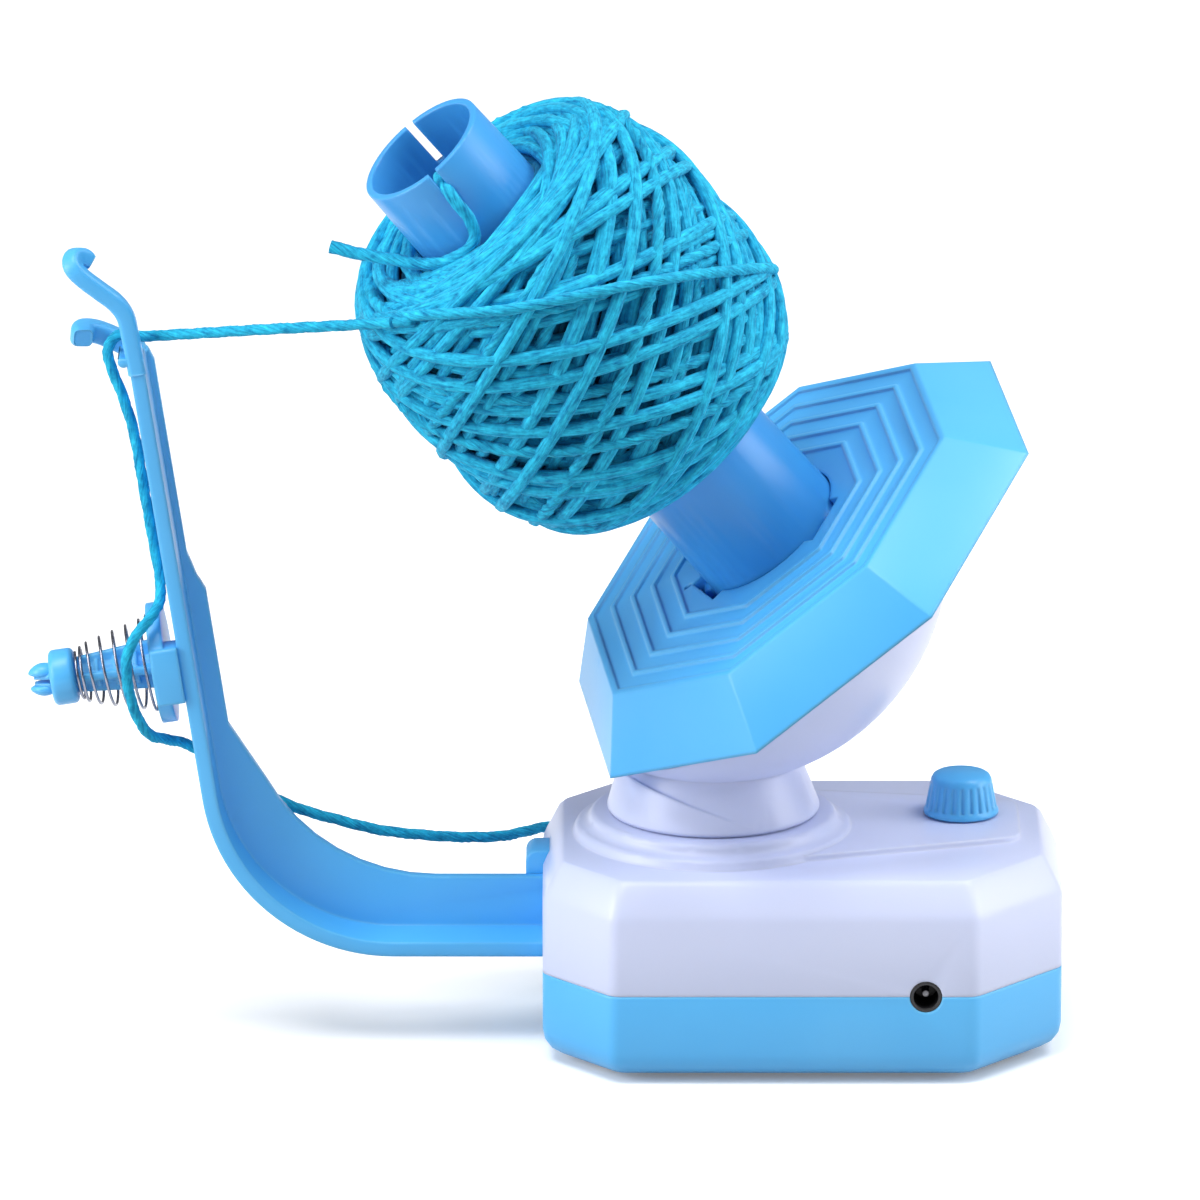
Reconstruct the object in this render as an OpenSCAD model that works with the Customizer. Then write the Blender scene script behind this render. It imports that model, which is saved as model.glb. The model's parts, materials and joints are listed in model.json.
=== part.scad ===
// Electric yarn ball winder: a low cut-corner base with a motor drive, a turret that turns
// on the base, an octagonal flyer tray that spins on a leaning spindle, and a yarn guide arm.
// Lengths are millimetres. The origin is on the floor under the middle of the base, +Z is up
// and the front, with the power inlet, faces -Y.

/* [Base] */
// Width of the base across its side walls
base_w = 135; // [120:1:150]
// Depth of the base from front wall to back wall
base_d = 100; // [94:1:116]
// Left corner cuts, measured along the front
cut_left_x = 18; // [12:0.5:24]
// Left corner cuts, measured along the side
cut_left_y = 20; // [14:0.5:26]
// Right corner cuts, measured along the front
cut_right_x = 23; // [14:0.5:26]
// Right corner cuts, measured along the side
cut_right_y = 26; // [14:0.5:30]
// Radius of the base's upright edges
corner_r = 5; // [2:0.5:8]
// Radius under the pan's outer edge
pan_round = 7; // [3:0.5:9]
// Wall of the pan and of the housing
shell_wall = 2.5; // [2:0.1:3]
// Thickness of the anti-slip pad under the pan
pad_t = 1.5; // [1:0.1:3]
// Height of the joint between pan and housing
seam_z = 24; // [22:0.5:27]
// Height where the housing's walls turn in
wall_z = 45; // [43:0.5:47]
// Height of the housing's top face
top_z = 53.7; // [52.5:0.1:56]
// How far the housing's top edge stands in from its walls
roof_inset = 5; // [3:0.5:8]
// Gap between separate shells, for assembly
fit_gap = 0.1; // [0.05:0.01:0.2]

/* [Turret] */
// Distance of the turret's axis left of the base's middle
turret_x = 23; // [20:0.5:26]
// Height of the turret's foot ring
turret_z = 60; // [58.5:0.1:62]
// Radius of the turret's foot
foot_r = 27.7; // [26:0.1:29]
// Radius of the turret's neck where it meets the bowl
neck_r = 22.5; // [21:0.1:23.5]
// Radius of the bowl
bowl_r = 60.9; // [60:0.1:62]
// Wall of the bowl
bowl_wall = 2.5; // [2:0.1:3]
// Height of the bowl's centre
bowl_z = 130; // [129.5:0.1:130.5]
// Outer radius of the journal that turns in the housing
journal_r = 15; // [14:0.1:16]
// Bore of the journal
journal_bore_r = 11.5; // [11:0.1:12]
// Wall of the turret's bearing bush
bush_wall = 2.5; // [2:0.1:3]
// Running clearance of shafts, on the radius
run_gap = 0.05; // [0.03:0.01:0.08]

/* [Flyer] */
// Lean of the spindle from upright
tilt = 40.7; // [40:0.1:41.2]
// Turn of the leaning side towards the front
lean_turn = 20; // [10:1:30]
// Height where the spindle's axis meets the turret's axis
axes_z = 150.5; // [150:0.1:151]
// Distance of the tray's face below that point
tray_drop = 21.4; // [21:0.1:22]
// Height of the tray's sloping sides
tray_h = 15.8; // [15:0.1:16.2]
// Corner radius of the tray's upper octagon
tray_top_r = 59.4; // [56:0.1:62]
// Corner radius of the tray's lower octagon
tray_low_r = 75; // [72:0.1:77]
// Wall of the tray
tray_wall = 2.5; // [2:0.1:3]
// Turn of the octagon about the spindle
tray_spin = 7.3; // [0:0.1:44]
// Number of octagon ribs on the tray's face
tray_ribs = 5; // [3:1:5]
// Distance between the ribs' corners
rib_pitch = 6.8; // [6:0.1:7]
// Width of one rib
rib_w = 1.4; // [1:0.1:2]
// Height of the ribs over the face
rib_h = 0.7; // [0.4:0.1:1]
// Radius of the spindle shaft
spindle_r = 4; // [3.5:0.1:4.5]
// Radius of the winding tube at the tray
tube_low_r = 20.8; // [20:0.1:21.5]
// Radius of the winding tube at its mouth
tube_top_r = 17.7; // [17:0.1:18.5]
// Wall of the winding tube
tube_wall = 1.9; // [1.8:0.1:2.6]
// Height of the tube's mouth above the crossing of the axes
tube_top = 123; // [118:0.5:128]
// Width of the yarn slots in the tube's mouth
slot_w = 2.2; // [1.8:0.1:3]
// Depth of the yarn slots
slot_d = 13; // [6:0.5:15]

/* [Gears] */
// Teeth of the fixed bevel gear on the centre post
sun_teeth = 18; // [18:1:18]
// Teeth of the bevel gear on the spindle
planet_teeth = 25; // [25:1:25]
// Distance from the crossing of the axes to the bevel teeth's outer ends
bevel_reach = 61; // [60.5:0.1:61.5]
// Length of the bevel teeth
bevel_face = 8; // [6:0.5:8]
// Teeth of the turret's ring gear
ring_teeth = 52; // [52:1:52]
// Teeth of the idler's small gear
idler_small_teeth = 14; // [14:1:14]
// Module of the ring gear and the idler's small gear
slow_module = 1; // [0.96:0.01:1.04]
// Teeth of the idler's large gear
idler_large_teeth = 40; // [40:1:40]
// Teeth of the motor's pinion
pinion_teeth = 12; // [12:1:12]
// Module of the motor's pinion and the idler's large gear
fast_module = 0.8; // [0.78:0.01:0.82]
// Width of the ring gear
ring_gear_w = 6; // [5:0.5:6]
// Width of the idler's large gear
idler_large_w = 5; // [4:0.5:6]

/* [Controls] */
// Distance of the speed knob's axis in from the right wall
knob_in = 25.5; // [23.5:0.5:27.5]
// Distance of the speed knob behind the base's middle
knob_y = 10; // [4:0.5:14]
// Radius of the knob's skirt
knob_r = 9.8; // [9:0.1:11]
// Radius of the knob's top
knob_top_r = 7.6; // [7:0.1:8.5]
// Height of the knob
knob_h = 10.6; // [9:0.1:13]
// Number of grip flutes round the knob
knob_flutes = 24; // [16:1:32]
// Distance of the power inlet's axis in from the right wall
inlet_in = 36; // [31.5:0.5:41.5]
// Radius of the power inlet's opening
inlet_r = 3.2; // [2.9:0.1:3.4]

/* [Guide arm] */
// Outer radius of the arm's bend
bend_r = 50; // [46:0.5:54]
// Distance of the bend's centre left of the base's middle
bend_x = 106.4; // [100:0.1:112]
// Height of the arm's underside
arm_z = 24.3; // [24.2:0.1:26]
// Lean of the arm's upright away from the base
arm_lean = 8.7; // [8:0.1:9.5]
// Thickness of the arm's rim
rim_t = 3.8; // [3:0.1:4.4]
// How far the arm's rim stands in front of its web's middle
rim_front = 16.5; // [14:0.1:18]
// How far the rim stands behind its web's middle
rim_back = 1.5; // [1.5:0.1:3]
// Thickness of the arm's web
web_t = 3; // [2:0.1:4]
// Height of the web's top edge at the base
web_z = 41.4; // [39:0.1:43]
// Height of the top of the arm's upright, where the guide fingers start
guide_z = 186; // [178:0.5:190]
// Height of the yarn tensioner's axis where it meets the arm
tension_z = 100.9; // [98:0.1:104]
// Radius of the tension plate
plate_r = 15.8; // [15:0.1:16.5]
// Thickness of the tension plate
plate_t = 3.8; // [3:0.1:5]
// Length of the ribbed post between plate and cap
post_l = 20.6; // [18:0.1:24]
// Wire of the tension spring
spring_wire = 0.8; // [0.6:0.1:1]
// Coils of the tension spring
spring_coils = 7; // [5:1:8]

/* [Yarn] */
// Diameter of the yarn
yarn_d = 2.9; // [2.2:0.1:3]
// Radius of the wound ball over its outer turns
ball_r = 54; // [51:0.1:54.5]
// Height of the ball's middle above the crossing of the axes
ball_h = 60; // [58:0.5:61]
// Turns laid round the outside of the ball
ball_turns = 18; // [10:1:18]
// Highest latitude that the turns reach
ball_lat = 50; // [44:1:52]

/* [Hidden] */
$fn = 64;
hull_fn = 32;
corner_steps = 4;
eps = 0.01;

// Derived places
pan_floor = pad_t + shell_wall;
roof_in = top_z - shell_wall;
turret_at = [-turret_x, 0];
knob_x = base_w/2 - knob_in;
inlet_x = base_w/2 - inlet_in;
ring_1_r = foot_r + 9;
ring_2_r = foot_r + 4.9;
tray_low = tray_drop + tray_h;
cover_t = 2.5;
cover_gap = 1.2;
cover_drop = tray_low + cover_gap;
ring_gear_r = slow_module*ring_teeth/2;
idler_reach = slow_module*(ring_teeth + idler_small_teeth)/2;
pinion_reach = fast_module*(idler_large_teeth + pinion_teeth)/2;
idler_turn = -14;
pinion_turn = 8;
idler_at = turret_at + idler_reach*[cos(idler_turn), sin(idler_turn)];
motor_at = idler_at + pinion_reach*[cos(pinion_turn), sin(pinion_turn)];
bush_low = top_z - 9.5;
gear_gap = 0.4;
ring_gear_z = bush_low - gear_gap - ring_gear_w;
idler_small_w = ring_gear_w;
idler_large_z = ring_gear_z - gear_gap - idler_large_w;
motor_r = 12.2;
motor_plate_t = 2;
motor_ear = 4;
motor_top = idler_large_z - 1.2 - motor_plate_t;
shaft_r = 1;
idler_pin_r = 1.5;
idler_sunk = 6;
post_r = 8;
post_nose_r = 5;
post_ring_r = post_r + 2.2;
post_ring_h = 6;
screw_r = 1.5;
screw_head_r = 2.8;
screw_head_h = 1.8;
pilot_r = screw_r - 0.3;
bite_gap = 0.02;
deck_h = 1.6;
deck_z = top_z + deck_h;
pot_r = 8;
pot_h = 6;
board_t = 1.6;
deck_low = roof_in - 0.6;
pot_top = deck_low - 0.2;
board_top = pot_top - pot_h;
knob_shaft_r = 3;
knob_lift = 0.5;

// Bevel pair: half angles of the two pitch cones that share the crossing of the axes
sun_cone = atan(sin(tilt)/(planet_teeth/sun_teeth + cos(tilt)));
planet_cone = tilt - sun_cone;
bevel_tip = 1.5;
bevel_root = 2.2;
planet_low = bevel_reach*cos(planet_cone - bevel_root);
planet_high = (bevel_reach - bevel_face)*cos(planet_cone);
sun_low = axes_z - bevel_reach*cos(sun_cone);
hub_h = 6;
nose_in = 4;

// The upright of the arm leaves the bend here
arm_foot = [-bend_x - bend_r*cos(arm_lean), arm_z + bend_r - bend_r*sin(arm_lean)];
function arm_line(z, off = 0) = [arm_foot[0] - (z - arm_foot[1])*tan(arm_lean) + off/cos(arm_lean), z];
plate_gap = 3.6;
tension_y = -2;
base_corners = [[-base_w/2 + cut_left_x, -base_d/2], [base_w/2 - cut_right_x, -base_d/2],
                [base_w/2, -base_d/2 + cut_right_y], [base_w/2, base_d/2 - cut_right_y],
                [base_w/2 - cut_right_x, base_d/2], [-base_w/2 + cut_left_x, base_d/2],
                [-base_w/2, base_d/2 - cut_left_y], [-base_w/2, -base_d/2 + cut_left_y]];
boss_at = [for (sx = [-1, 1], sy = [-1, 1])
           [sx*(base_w/2 - 17), sy*(base_d/2 - (sx < 0 ? cut_left_y : cut_right_y) + 4)]];

// Outline of the base, drawn in by inset, with the same count of points at every inset
function out_of(v) = unit([v[1], -v[0]]);
function corner_arc(i, inset) =
    let (n = len(base_corners), p = base_corners[i],
         n0 = out_of(p - base_corners[(i + n - 1)%n]), n1 = out_of(base_corners[(i + 1)%n] - p),
         c = p - (corner_r + inset)*(n0 + n1)/(1 + n0*n1), a0 = atan2(n0[1], n0[0]),
         turn = acos(n0*n1))
    [for (k = [0:corner_steps]) let (a = a0 + turn*k/corner_steps) c + corner_r*[cos(a), sin(a)]];
function base_outline(inset) = [for (i = [0:len(base_corners) - 1]) each corner_arc(i, inset)];

// Body lofted through outlines of the base, each given as [height, inset]
module base_loft(rings) {
    n = len(base_corners)*(corner_steps + 1);
    last = len(rings) - 1;
    points = [for (ring = rings, p = base_outline(ring[1])) [p[0], p[1], ring[0]]];
    sides = [for (j = [0:last - 1], k = [0:n - 1]) let (m = (k + 1)%n)
             [j*n + k, (j + 1)*n + k, (j + 1)*n + m, j*n + m]];
    polyhedron(points, concat(sides, [[for (k = [0:n - 1]) k]], [[for (k = [n - 1:-1:0]) last*n + k]]));
}

module at_turret() {
    translate([-turret_x, 0, 0]) rotate(lean_turn) children();
}

// The spindle's frame: +Z runs up the spindle from the crossing of the axes
module on_spindle() {
    translate([-turret_x, 0, axes_z]) rotate([0, -tilt, lean_turn]) children();
}

// Screw that points up, with its head's underside at z = 0
module screw(len, head = screw_head_r) {
    cylinder(r = pilot_r - bite_gap, h = len);
    difference() {
        translate([0, 0, -screw_head_h]) cylinder(r = head, h = screw_head_h);
        for (a = [0, 90])
            rotate(a) translate([-head*0.6, -0.35, -screw_head_h - eps]) cube([head*1.2, 0.7, 0.9]);
    }
}

// Spur gear with straight-flanked teeth, one tooth on +X
module spur(teeth, mod, w, bore) {
    pitch = 360/teeth;
    r_tip = mod*(teeth/2 + 0.85);
    r_mid = mod*teeth/2;
    r_root = mod*(teeth/2 - 1.15);
    difference() {
        linear_extrude(w) polygon([for (i = [0:teeth - 1], k = [-3:1:3]) if (k != 0)
            let (a = i*pitch + sign(k)*pitch*[0.105, 0.205, 0.32][abs(k) == 1 ? 0 : abs(k) == 2 ? 1 : 2],
                 r = abs(k) == 1 ? r_tip : abs(k) == 2 ? r_mid : r_root)
            r*[cos(a), sin(a)]]);
        translate([0, 0, -eps]) cylinder(r = bore, h = w + 2*eps);
    }
}

// Bevel gear with its apex at the origin and its axis on -Z, one tooth on +X
module bevel(teeth, cone) {
    pitch = 360/teeth;
    root = cone - bevel_root;
    tip = cone + bevel_tip;
    sunk = root - 0.6;
    far = bevel_reach;
    near = bevel_reach - bevel_face;
    function ray(c, a, d) = d*[sin(c)*cos(a), sin(c)*sin(a), -cos(c)];
    rotate_extrude() polygon([[0, -far*cos(root)], [far*sin(root), -far*cos(root)],
                              [near*sin(root), -near*cos(root)], [0, -near*cos(root)]]);
    for (i = [0:teeth - 1])
        rotate(i*pitch) polyhedron(
            [for (d = [near, far - 0.3]) each [ray(sunk, -0.33*pitch, d), ray(sunk, 0.33*pitch, d),
                                               ray(tip, 0.1*pitch, d), ray(tip, -0.1*pitch, d)]],
            [[0, 1, 2, 3], [1, 0, 4, 5], [2, 1, 5, 6], [3, 2, 6, 7], [0, 3, 7, 4], [5, 4, 7, 6]]);
}

// Tube of radius r swept along a list of points, with its rings square to the path
function unit(v) = v/norm(v);
function tangent(path, i) = unit(path[min(i + 1, len(path) - 1)] - path[max(i - 1, 0)]);
function side_of(t, hint) = unit(hint - (hint*t)*t);
function carry(path, i, last) = i >= len(path) ? [] :
    let (s = side_of(tangent(path, i), last)) concat([s], carry(path, i + 1, s));
module sweep(path, r, sides, hints = []) {
    n = len(path);
    start = abs(tangent(path, 0)[2]) > 0.9 ? [1, 0, 0] : [0, 0, 1];
    outs = len(hints) == n ? [for (i = [0:n - 1]) side_of(tangent(path, i), hints[i])]
                           : carry(path, 0, start);
    points = [for (i = [0:n - 1], k = [0:sides - 1])
              let (t = tangent(path, i), u = outs[i], v = cross(t, u), a = 360*k/sides)
              path[i] + r*(cos(a)*u + sin(a)*v)];
    faces = concat(
        [for (i = [0:n - 2], k = [0:sides - 1]) let (m = (k + 1)%sides) each
            [[i*sides + k, (i + 1)*sides + k, i*sides + m],
             [i*sides + m, (i + 1)*sides + k, (i + 1)*sides + m]]],
        [for (k = [1:sides - 2]) each
            [[0, k, k + 1], [(n - 1)*sides, (n - 1)*sides + k + 1, (n - 1)*sides + k]]]);
    polyhedron(points, faces);
}

// Least gap between stretches of a tube that lie more than skip points apart
function least_gap(path, d, skip) =
    min([for (i = [0:len(path) - 1], j = [i + skip:1:len(path) - 1]) norm(path[i] - path[j])]) - d;

// Base shells

module anti_slip_pad() {
    pad_inset = pan_round + 4;
    color("dimgray") linear_extrude(pad_t) polygon(base_outline(pad_inset));
}

module pan_body(inset, low, high) {
    base_loft(concat(
        [for (a = [90:-22.5:0]) [low + pan_round*(1 - sin(a)), inset + pan_round*(1 - cos(a))]],
        [[high, inset]]));
}

module base_pan() {
    sink = 0.6;
    color("#55b0f2") difference() {
        union() {
            difference() {
                pan_body(0, pad_t, seam_z - fit_gap/2);
                pan_body(shell_wall, pan_floor, seam_z + 2);
            }
            // Screw towers
            for (p = boss_at)
                translate([p[0], p[1], pan_floor - sink])
                    cylinder(r = screw_head_r + 1, h = seam_z - pan_floor - 1);
            // Ring that the centre post stands in
            translate([-turret_x, 0, pan_floor - sink]) cylinder(r = post_ring_r, h = post_ring_h + sink);
            // Posts under the motor plate
            for (s = [-1, 1])
                translate([motor_at[0], motor_at[1] + s*(motor_r + motor_ear), pan_floor - sink])
                    cylinder(r = 3, h = motor_top - pan_floor + sink);
            // Post that holds the idler's pin
            translate([idler_at[0], idler_at[1], pan_floor - sink])
                cylinder(r = 3.2, h = idler_large_z - pan_floor - 0.3);
        }
        for (p = boss_at)
            translate([p[0], p[1], 0]) {
                cylinder(r = screw_r + 0.2, h = seam_z);
                cylinder(r = screw_head_r + 0.3, h = pad_t + screw_head_h + 0.4);
            }
        translate([-turret_x, 0, pan_floor]) cylinder(r = post_r + fit_gap, h = 20);
        at_post_screws() translate([0, 0, -1]) cylinder(r = shaft_r + bite_gap, h = 4);
        for (s = [-1, 1])
            translate([motor_at[0], motor_at[1] + s*(motor_r + motor_ear), motor_top - 6])
                cylinder(r = pilot_r, h = 20);
        translate([idler_at[0], idler_at[1], pan_floor + idler_sunk])
            cylinder(r = idler_pin_r + fit_gap/2, h = idler_large_z);
        inlet_hole();
    }
}

module base_screws() {
    color("silver") for (p = boss_at)
        translate([p[0], p[1], pad_t + screw_head_h + 0.4]) screw(seam_z + 6 - pad_t);
}

module inlet_hole() {
    inlet_ring = inlet_r + 1;
    translate([inlet_x, -base_d/2 + shell_wall + 1, seam_z]) rotate([90, 0, 0])
        cylinder(r = inlet_ring, h = shell_wall + 2);
}

// Outer form of the housing, or of its hollow: low end, wall's turn and high end
module housing_body(inset, low, turn, high) {
    edge = 1.2;
    base_loft([[low, inset], [turn - edge, inset],
               [turn + edge, inset + edge*roof_inset/(top_z - wall_z) + 0.3],
               [high - edge, inset + roof_inset - 0.9], [high, inset + roof_inset + 0.4]]);
}

// Raised deck that runs from the turret's rings to the knob
module deck() {
    end_r = 6;
    end_x = base_w/2 - roof_inset - 5.5 - end_r;
    half = 12;
    end_y = knob_y - 4;
    root = ring_1_r - 1.5;
    translate([0, 0, deck_low]) linear_extrude(deck_z - deck_low) polygon(concat(
        [[-turret_x, root], [-turret_x, -root]],
        [for (a = [-80:20:0]) [end_x, end_y - half] + end_r*[cos(a), sin(a)]],
        [for (a = [0:20:80]) [end_x, end_y + half] + end_r*[cos(a), sin(a)]]));
}

// Two rounded steps that climb from the deck to the turret's foot
module ring_steps() {
    step_1 = (turret_z - top_z)*0.45;
    round = 1.6;
    land = turret_z - 0.35;
    translate([-turret_x, 0, 0]) rotate_extrude() polygon(concat(
        [[5, roof_in - 1], [ring_1_r, roof_in - 1], [ring_1_r, top_z + 0.3]],
        [for (a = [0:15:90]) [ring_1_r - 0.6 - round*(1 - cos(a)), top_z + step_1 - round + round*sin(a)]],
        [[ring_2_r + 0.9, top_z + step_1 + 0.25], [ring_2_r + 0.2, top_z + step_1 + 0.7]],
        [for (a = [0:15:90]) [ring_2_r - 0.4 - round*(1 - cos(a)), land - round + round*sin(a)]],
        [[5, land]]));
}

module upper_housing() {
    boss_wall = 3;
    color("#e4e8fb") difference() {
        union() {
            difference() {
                housing_body(0, seam_z + fit_gap/2, wall_z, top_z);
                housing_body(shell_wall, seam_z - 2, wall_z - 1, roof_in);
            }
            deck();
            ring_steps();
            // Bearing boss under the roof
            translate([-turret_x, 0, bush_low])
                cylinder(r = journal_r + bush_wall + boss_wall, h = top_z + 1 - bush_low);
            // Screw towers
            for (p = boss_at)
                translate([p[0], p[1], seam_z]) cylinder(r = screw_head_r + 1, h = roof_in + 0.8 - seam_z);
            // Board towers
            for (p = board_holes())
                translate([p[0], p[1], board_top]) cylinder(r = 2.6, h = roof_in - board_top + 0.5);
        }
        translate([-turret_x, 0, bush_low - eps]) cylinder(r = journal_r + bush_wall, h = top_z);
        for (p = boss_at)
            translate([p[0], p[1], seam_z - 2]) cylinder(r = pilot_r, h = 14);
        for (p = board_holes())
            translate([p[0], p[1], board_top - eps]) cylinder(r = pilot_r, h = 5);
        translate([knob_x, knob_y, roof_in - 2]) cylinder(r = knob_shaft_r + 0.6, h = 10);
        inlet_hole();
        arm_slot(fit_gap);
    }
}

// Power inlet and control

module power_inlet() {
    depth = 13;
    flange = 1.2;
    bore = 9;
    color("#15161a") translate([inlet_x, -base_d/2 + flange - 0.6, seam_z]) rotate([-90, 0, 0]) difference() {
        union() {
            translate([0, 0, -flange + 0.6]) cylinder(r = inlet_r + 0.9, h = shell_wall + flange);
            translate([-inlet_r - 1.6, -inlet_r - 1.6, shell_wall + 0.2])
                cube([2*inlet_r + 3.2, 2*inlet_r + 3.2, depth - shell_wall]);
        }
        translate([0, 0, -flange]) cylinder(r = inlet_r, h = bore + flange);
        translate([0, 0, bore - 1]) cylinder(r = shaft_r, h = depth);
    }
}

module inlet_contact() {
    color("silver") translate([inlet_x, -base_d/2 + 3, seam_z]) rotate([-90, 0, 0])
        cylinder(r = shaft_r - bite_gap, h = 9);
}

function board_holes() = [for (sx = [-1, 1]) [knob_x + sx*(pot_r + 5), knob_y + 8]];

module control_board() {
    board_w = 2*pot_r + 17;
    board_d = 28;
    color("darkgreen") difference() {
        translate([knob_x - board_w/2, knob_y - board_d/2, board_top - board_t])
            cube([board_w, board_d, board_t]);
        for (p = board_holes())
            translate([p[0], p[1], board_top - board_t - eps]) cylinder(r = screw_r + 0.2, h = board_t + 1);
        translate([knob_x, knob_y, board_top - board_t - eps]) cylinder(r = 1.5, h = board_t + 1);
    }
}

module board_screws() {
    color("silver") for (p = board_holes())
        translate([p[0], p[1], board_top - board_t]) screw(board_t + 4);
}

module speed_pot() {
    collar_r = knob_shaft_r + 0.5;
    color("gray") translate([knob_x, knob_y, board_top]) difference() {
        union() {
            cylinder(r = pot_r, h = pot_h);
            cylinder(r = collar_r, h = pot_h + shell_wall);
        }
        translate([0, 0, 1]) cylinder(r = knob_shaft_r + run_gap, h = 20);
    }
}

module knob_shaft() {
    low = board_top + 1.1;
    top = deck_z + knob_lift + knob_h - 3;
    color("silver") translate([knob_x, knob_y, low]) cylinder(r = knob_shaft_r, h = top - low);
}

module speed_knob() {
    skirt_h = 1.6;
    flute_r = 0.55;
    cap = 2.4;
    color("#4ea9ee") translate([knob_x, knob_y, deck_z + knob_lift]) difference() {
        rotate_extrude() polygon([[0, 0], [knob_r, 0], [knob_r, 0.8], [knob_r - 0.45, skirt_h],
            [knob_top_r + 0.35, knob_h - 1.5], [knob_top_r - 0.2, knob_h - 0.5], [knob_top_r - 1, knob_h],
            [0, knob_h]]);
        for (i = [0:knob_flutes - 1])
            rotate(360*i/knob_flutes) translate([knob_r - 0.4, 0, skirt_h + 0.2])
                rotate([0, -atan((knob_r - knob_top_r - 0.8)/(knob_h - skirt_h)), 0])
                    cylinder(r = flute_r, h = knob_h - skirt_h - cap);
        translate([0, 0, -eps]) cylinder(r = knob_shaft_r + 0.02, h = knob_h - 3 + 2*eps);
    }
}

// Drive

module motor_can() {
    color("silver") translate([motor_at[0], motor_at[1], 0]) difference() {
        union() {
            translate([0, 0, pan_floor]) cylinder(r = motor_r, h = motor_top - pan_floor);
            translate([0, 0, motor_top - eps]) cylinder(r = 3, h = motor_plate_t);
        }
        translate([0, 0, pan_floor + 2]) cylinder(r = shaft_r + run_gap, h = 60);
        for (s = [-1, 1])
            translate([s*7, 0, motor_top - 4]) cylinder(r = pilot_r, h = 10);
    }
}

module motor_plate() {
    color("gainsboro") translate([motor_at[0], motor_at[1], motor_top]) difference() {
        hull() {
            cylinder(r = motor_r - 1, h = motor_plate_t, $fn = hull_fn);
            for (s = [-1, 1])
                translate([0, s*(motor_r + motor_ear), 0])
                    cylinder(r = 3.4, h = motor_plate_t, $fn = hull_fn);
        }
        translate([0, 0, -eps]) cylinder(r = 3 + fit_gap, h = 10);
        for (s = [-1, 1]) {
            translate([0, s*(motor_r + motor_ear), -eps]) cylinder(r = screw_r + 0.1, h = 10);
            translate([s*7, 0, -eps]) cylinder(r = screw_r + 0.1, h = 10);
        }
    }
}

module motor_screws() {
    flat_head = 1.0;
    color("silver") translate([motor_at[0], motor_at[1], motor_top + motor_plate_t]) {
        for (s = [-1, 1], at = [[0, s*(motor_r + motor_ear)], [s*7, 0]])
            translate(at) {
                cylinder(r = 2.4, h = flat_head);
                translate([0, 0, -motor_plate_t - 3]) cylinder(r = pilot_r - bite_gap, h = motor_plate_t + 3);
            }
    }
}

module motor_shaft() {
    color("lightgray") translate([motor_at[0], motor_at[1], pan_floor + 2.2])
        cylinder(r = shaft_r, h = idler_large_z + idler_large_w - pan_floor - 2.2);
}

module motor_pinion() {
    gap_turn = 180/pinion_teeth;
    color("khaki") translate([motor_at[0], motor_at[1], idler_large_z])
        rotate(pinion_turn + 180 + gap_turn) spur(pinion_teeth, fast_module, idler_large_w, shaft_r + 0.01);
}

module idler_pin() {
    color("silver") translate([idler_at[0], idler_at[1], pan_floor + idler_sunk + 0.2])
        cylinder(r = idler_pin_r, h = ring_gear_z + idler_small_w - pan_floor - idler_sunk);
}

module idler_gear() {
    gap_turn = 180/idler_small_teeth;
    color("ivory") translate([idler_at[0], idler_at[1], 0]) {
        translate([0, 0, idler_large_z]) rotate(pinion_turn)
            spur(idler_large_teeth, fast_module, idler_large_w, idler_pin_r + run_gap);
        translate([0, 0, idler_large_z + idler_large_w - eps]) difference() {
            cylinder(r = 5, h = gear_gap + 2*eps);
            translate([0, 0, -1]) cylinder(r = idler_pin_r + run_gap, h = 3);
        }
        translate([0, 0, ring_gear_z]) rotate(idler_turn + 180 + gap_turn)
            spur(idler_small_teeth, slow_module, idler_small_w, idler_pin_r + run_gap);
    }
}

// Turret

module turret_bush() {
    top_gap = 0.35;
    color("wheat") translate([-turret_x, 0, bush_low]) difference() {
        cylinder(r = journal_r + bush_wall - bite_gap, h = turret_z - bush_low - top_gap);
        translate([0, 0, -eps]) cylinder(r = journal_r + run_gap, h = 30);
    }
}

module below_cover() {
    on_spindle() translate([-200, -200, -cover_drop - 400]) cube([400, 400, 400]);
}

module foot_cone(r_high) {
    high = bowl_z - sqrt(bowl_r*bowl_r - neck_r*neck_r);
    rotate_extrude() polygon([[5, turret_z], [foot_r - 0.5, turret_z], [foot_r, turret_z + 0.7],
                              [foot_r, turret_z + 1.4], [r_high, high + 1], [5, high + 1]]);
}

// The lip on the leaning side rises under the tray and stops short of the bowl
module foot_lip() {
    lip_rise = 21;
    lip_back = 6;
    lip_gap = 1;
    difference() {
        translate([-turret_x, 0, 0]) foot_cone(neck_r + 1.5);
        translate([-turret_x, 0, bowl_z]) sphere(r = bowl_r + lip_gap, $fn = 96);
        at_turret() translate([lip_back, -100, turret_z]) rotate([0, lip_rise, 0])
            translate([-200, 0, 0]) cube([400, 200, 100]);
    }
}

// Depth of the bowl's inner face under a point of the cover, along the spindle
bowl_off = (axes_z - bowl_z)*[-sin(tilt), 0, -cos(tilt)];
function bowl_depth(p) = bowl_off[2]
    - sqrt(pow(bowl_r - bowl_wall, 2) - pow(p[0] - bowl_off[0], 2) - pow(p[1], 2));

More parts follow.
